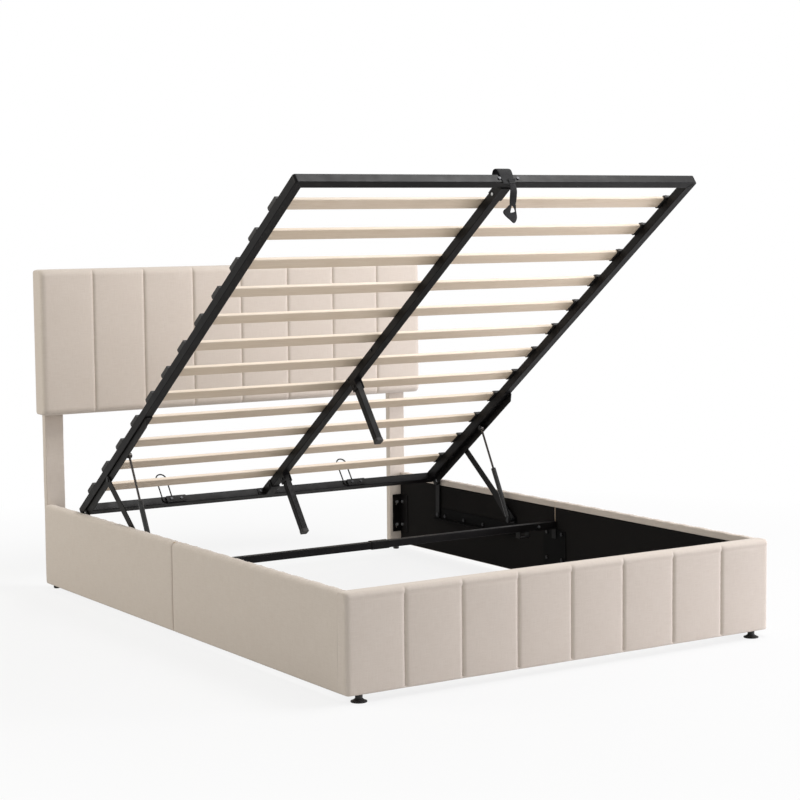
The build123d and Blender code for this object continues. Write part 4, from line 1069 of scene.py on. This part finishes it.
class BED_OT_strap(bpy.types.Operator):
    """Pull strap: webbing lapped over the foot bar, with a hanging tail and loop"""

    bl_idname = "bed.strap"
    bl_label = "Pull strap"

    def execute(self, context):
        # The lap stands up from behind the foot bar, arches over it and lies on its face:
        # mm past the bar's end face and above its top
        lap = smooth_line([
            (-22, 1.6), (-24, 9), (-20, 18), (-11, 24.5), (-2, 23), (3.5, 14), (4, 3), (2, -9),
            (1.3, -15), (1.3, -26), (1.3, -36),
        ], 8) * MM + (DECK_LENGTH, TUBE)
        share = np.linspace(0, 1, len(lap))
        middle = np.interp(share, [0, 0.45, 1], [-10 * MM, -6.5 * MM, -5 * MM])
        half = np.interp(share, [0, 0.45, 1], [30 * MM, 27 * MM, 23 * MM])
        line = in_deck(middle, lap[:, 0], lap[:, 1])
        wide = np.tile(ACROSS, (len(line), 1))
        normal = np.cross(wide, np.gradient(line, axis=0))
        normal /= np.linalg.norm(normal, axis=1)[:, None]
        grids = ribbon(line, wide, half, STRAP_THICKNESS, normal)

        # The tail hangs from the lap's lower end, narrows and twists by up to 14 degrees:
        # mm to the right of its line, in front of the bar's face and above its edge
        edge = in_deck(0.0, DECK_LENGTH + STRAP_THICKNESS, 0.0)
        origin = np.array([11 * MM, edge[1] + STRAP_THICKNESS / 2, edge[2]])
        tail = smooth_line([
            (-5, 1, 10), (-3, 0, -4), (1, -0.4, -26), (0, 0.4, -50), (-3, 0, -75),
        ], 12) * MM + origin
        drop = tail[:, 2] - origin[2]
        width = np.interp(drop, [-74 * MM, -40 * MM, 0], [11 * MM, 12 * MM, 14.5 * MM])
        turn = math.radians(14) * np.sin(np.linspace(0, 2 * math.pi, len(tail)))
        cos, sin = np.cos(turn), np.sin(turn)
        grids += ribbon(
            tail, stacked(cos, sin, 0.0), width, STRAP_THICKNESS * 0.9, stacked(sin, -cos, 0.0))

        # The loop hangs from the tail's end, 71 mm below the edge: mm to the right and upwards
        rim = [(-14, 0), (-25, -9), (-38, -19), (-36, -30), (-16, -46), (3, -57), (15, -42),
               (11, -16), (9, 0), (-2, 1)]
        gap = [(-6, -3), (-7, -7), (-9, -15), (-11, -23), (-6, -24), (1, -22.5), (5.5, -20),
               (2.5, -12), (-2, -5), (-4.5, -2.5)]
        grids.append(flat_loop(rim, gap, origin - 71 * MM * UP))
        surface_piece(
            "pull_strap_webbing", grids, "lift_frame", "woven_webbing_black",
            ["pull_strap"],
        )
        return {"FINISHED"}


def weld_bead(start, finish):
    """A bead along a straight joint of the platform: a flattened tube with twelve ripples.

    Its radius of 1.6 mm swells by an eighth at each ripple and falls away at both ends.
    """
    t = np.linspace(0, 1, 40)[:, None]
    angle = np.linspace(0, 2 * math.pi, 9)
    path = start + (finish - start) * t
    aside = np.cross((finish - start) / np.linalg.norm(finish - start), UP)
    radius = 1.6 * MM * (1 + 0.12 * np.sin(t * 2 * math.pi * 12))
    radius = radius * np.sqrt(np.clip(1 - (2 * t - 1) ** 8, 0.02, 1))
    local = (
        path[:, None, :]
        + (radius * np.cos(angle))[..., None] * aside
        + (0.6 * radius * np.sin(angle))[..., None] * UP
    )
    points = in_deck(local[..., 0], local[..., 1], local[..., 2])
    caps = [end_cap(ring, ring[:-1].mean(0), (0, 1)) for ring in points[[0, -1]]]
    return [(points, stacked(t * 0.03, angle * 0.001)), *caps]


class BED_OT_welds(bpy.types.Operator):
    """Weld beads at the corners of the lifted frame"""

    bl_idname = "bed.welds"
    bl_label = "Weld beads"

    def execute(self, context):
        inner = FRAME_REACH - TUBE
        mitre = np.array([
            (inner + 1 * MM, DECK_LENGTH - 29 * MM, 0.0),
            (FRAME_REACH - 8 * MM, DECK_LENGTH - 8 * MM, 0.0),
        ])
        corner = np.array([(inner, 1 * MM, 0.0), (inner, 29 * MM, 0.0)])
        grids = []
        for side in SIDES.values():
            for ends in (mitre, corner):
                grids += weld_bead(*(ends * (side, 1, 1)))
        surface_piece("corner_weld_beads", grids, "lift_frame", COATED_STEEL)
        return {"FINISHED"}


# Studio


def paper_shader(tree):
    """White paper: matt under the lamps, and for the camera mostly a plain white glow.

    The glow's share grows from 0.8 within 1.6 m of the middle to 1 at 3.2 m, so that the
    bed's shadow stays and the paper ends in the white of the room.
    """
    paper = add_node(tree, "BsdfPrincipled", {
        "Base Color": colour("#D8D8D8"), "Roughness": 0.9, "Specular IOR Level": 0.1})
    glow = add_node(tree, "Emission", {"Color": (1, 1, 1, 1), "Strength": 1.0})
    place = add_node(tree, "TexCoord", out="Object")
    distance = add_node(tree, "VectorMath", {"Vector": place}, "Value", operation="LENGTH")
    share = add_node(
        tree, "MapRange", {"Value": distance, "From Min": 1.6, "From Max": 3.2, "To Min": 0.8})
    seen = add_node(tree, "LightPath", out="Is Camera Ray")
    blend = add_node(tree, "Math", {0: seen, 1: share}, operation="MULTIPLY")
    return add_node(tree, "MixShader", {0: blend, 1: paper, 2: glow})


class BED_OT_stage(bpy.types.Operator):
    """Plain floor, soft light and the camera"""

    bl_idname = "bed.stage"
    bl_label = "Studio"

    def execute(self, context):
        self.lay_floor(context.scene)
        self.light_room(context.scene)
        self.place_camera(context.scene)
        context.scene.view_settings.view_transform = "Standard"
        return {"FINISHED"}

    def lay_floor(self, scene):
        """A flat sheet of white paper under the bed."""
        side = np.array([-FLOOR_REACH, FLOOR_REACH])
        points = stacked(side[:, None], side, 0.0)
        mesh = bpy.data.meshes.new("studio_floor")
        mesh.from_pydata(points.reshape(-1, 3).tolist(), [], grid_faces(2, 2)[:, ::-1].tolist())
        floor = bpy.data.objects.new("studio_floor", mesh)
        scene.collection.objects.link(floor)
        material = bpy.data.materials.new("studio_paper_white")
        tree = emptied_tree(material)
        add_node(tree, "OutputMaterial", {"Surface": paper_shader(tree)})
        mesh.materials.append(material)

    def light_room(self, scene):
        """An even room that the camera sees as white, and three softboxes."""
        world = bpy.data.worlds.new("studio_room")
        scene.world = world
        tree = emptied_tree(world)
        seen = add_node(tree, "LightPath", out="Is Camera Ray")
        strength = add_node(
            tree, "MapRange", {"Value": seen, "To Min": scene.bed_stage.room_light})
        backdrop = add_node(tree, "Background", {"Color": (1, 1, 1, 1), "Strength": strength})
        add_node(tree, "OutputWorld", {"Surface": backdrop})
        for name, (power, size, place, tint) in SOFTBOXES.items():
            lamp = bpy.data.lights.new(name, "AREA")
            lamp.energy = scene.bed_stage.key_light * power
            lamp.color = tint
            lamp.size = size
            holder = bpy.data.objects.new(name, lamp)
            scene.collection.objects.link(holder)
            holder.location = place
            holder.rotation_mode = "QUATERNION"
            holder.rotation_quaternion = Vector(LIGHT_AIM - place).to_track_quat("-Z", "Y")

    def place_camera(self, scene):
        """The camera at the photograph's place, from its turn, dip and roll."""
        forward = np.array([
            math.sin(CAMERA_YAW) * math.cos(CAMERA_PITCH),
            math.cos(CAMERA_YAW) * math.cos(CAMERA_PITCH), -math.sin(CAMERA_PITCH),
        ])
        level = np.array([math.cos(CAMERA_YAW), -math.sin(CAMERA_YAW), 0.0])
        upright = np.cross(level, forward)
        right = math.cos(CAMERA_ROLL) * level + math.sin(CAMERA_ROLL) * upright
        up = -math.sin(CAMERA_ROLL) * level + math.cos(CAMERA_ROLL) * upright
        camera = bpy.data.cameras.new("studio_camera")
        camera.sensor_width = CAMERA_SENSOR
        camera.lens = CAMERA_LENS
        camera.clip_start, camera.clip_end = 0.1, 100.0
        holder = bpy.data.objects.new("studio_camera", camera)
        scene.collection.objects.link(holder)
        holder.matrix_world = Matrix([
            *np.stack([right, up, -forward, CAMERA_PLACE], axis=1).tolist(), (0, 0, 0, 1),
        ])
        scene.camera = holder


OPERATORS = (
    BED_OT_headboard, BED_OT_footboard, BED_OT_rails, BED_OT_legs, BED_OT_linings,
    BED_OT_steelwork, BED_OT_struts, BED_OT_fasteners, BED_OT_slats, BED_OT_boards,
    BED_OT_strap, BED_OT_welds, BED_OT_stage,
)


class BED_PT_panel(bpy.types.Panel):
    """Sidebar panel that lists the bed's pieces"""

    bl_idname = "BED_PT_panel"
    bl_label = "Storage bed"
    bl_space_type = "VIEW_3D"
    bl_region_type = "UI"
    bl_category = "Storage Bed"

    def draw(self, context):
        layout = self.layout
        for group in (context.scene.bed_sizes, context.scene.bed_colours, context.scene.bed_stage):
            box = layout.box()
            for name in group.__annotations__:
                box.prop(group, name)
        for operator in OPERATORS:
            layout.operator(operator.bl_idname)


CLASSES = (BedSizes, BedColours, BedStage, *OPERATORS, BED_PT_panel)


def register():
    """Registers the classes and their settings on the scene."""
    for item in CLASSES:
        bpy.utils.register_class(item)
    bpy.types.Scene.bed_sizes = PointerProperty(type=BedSizes)
    bpy.types.Scene.bed_colours = PointerProperty(type=BedColours)
    bpy.types.Scene.bed_stage = PointerProperty(type=BedStage)


def unregister():
    """Takes the settings and the classes away again."""
    for name in ("bed_sizes", "bed_colours", "bed_stage"):
        delattr(bpy.types.Scene, name)
    for item in reversed(CLASSES):
        bpy.utils.unregister_class(item)


def main():
    register()
    for operator in OPERATORS:
        group, name = operator.bl_idname.split(".")
        getattr(getattr(bpy.ops, group), name)()


if __name__ == "__main__":
    main()
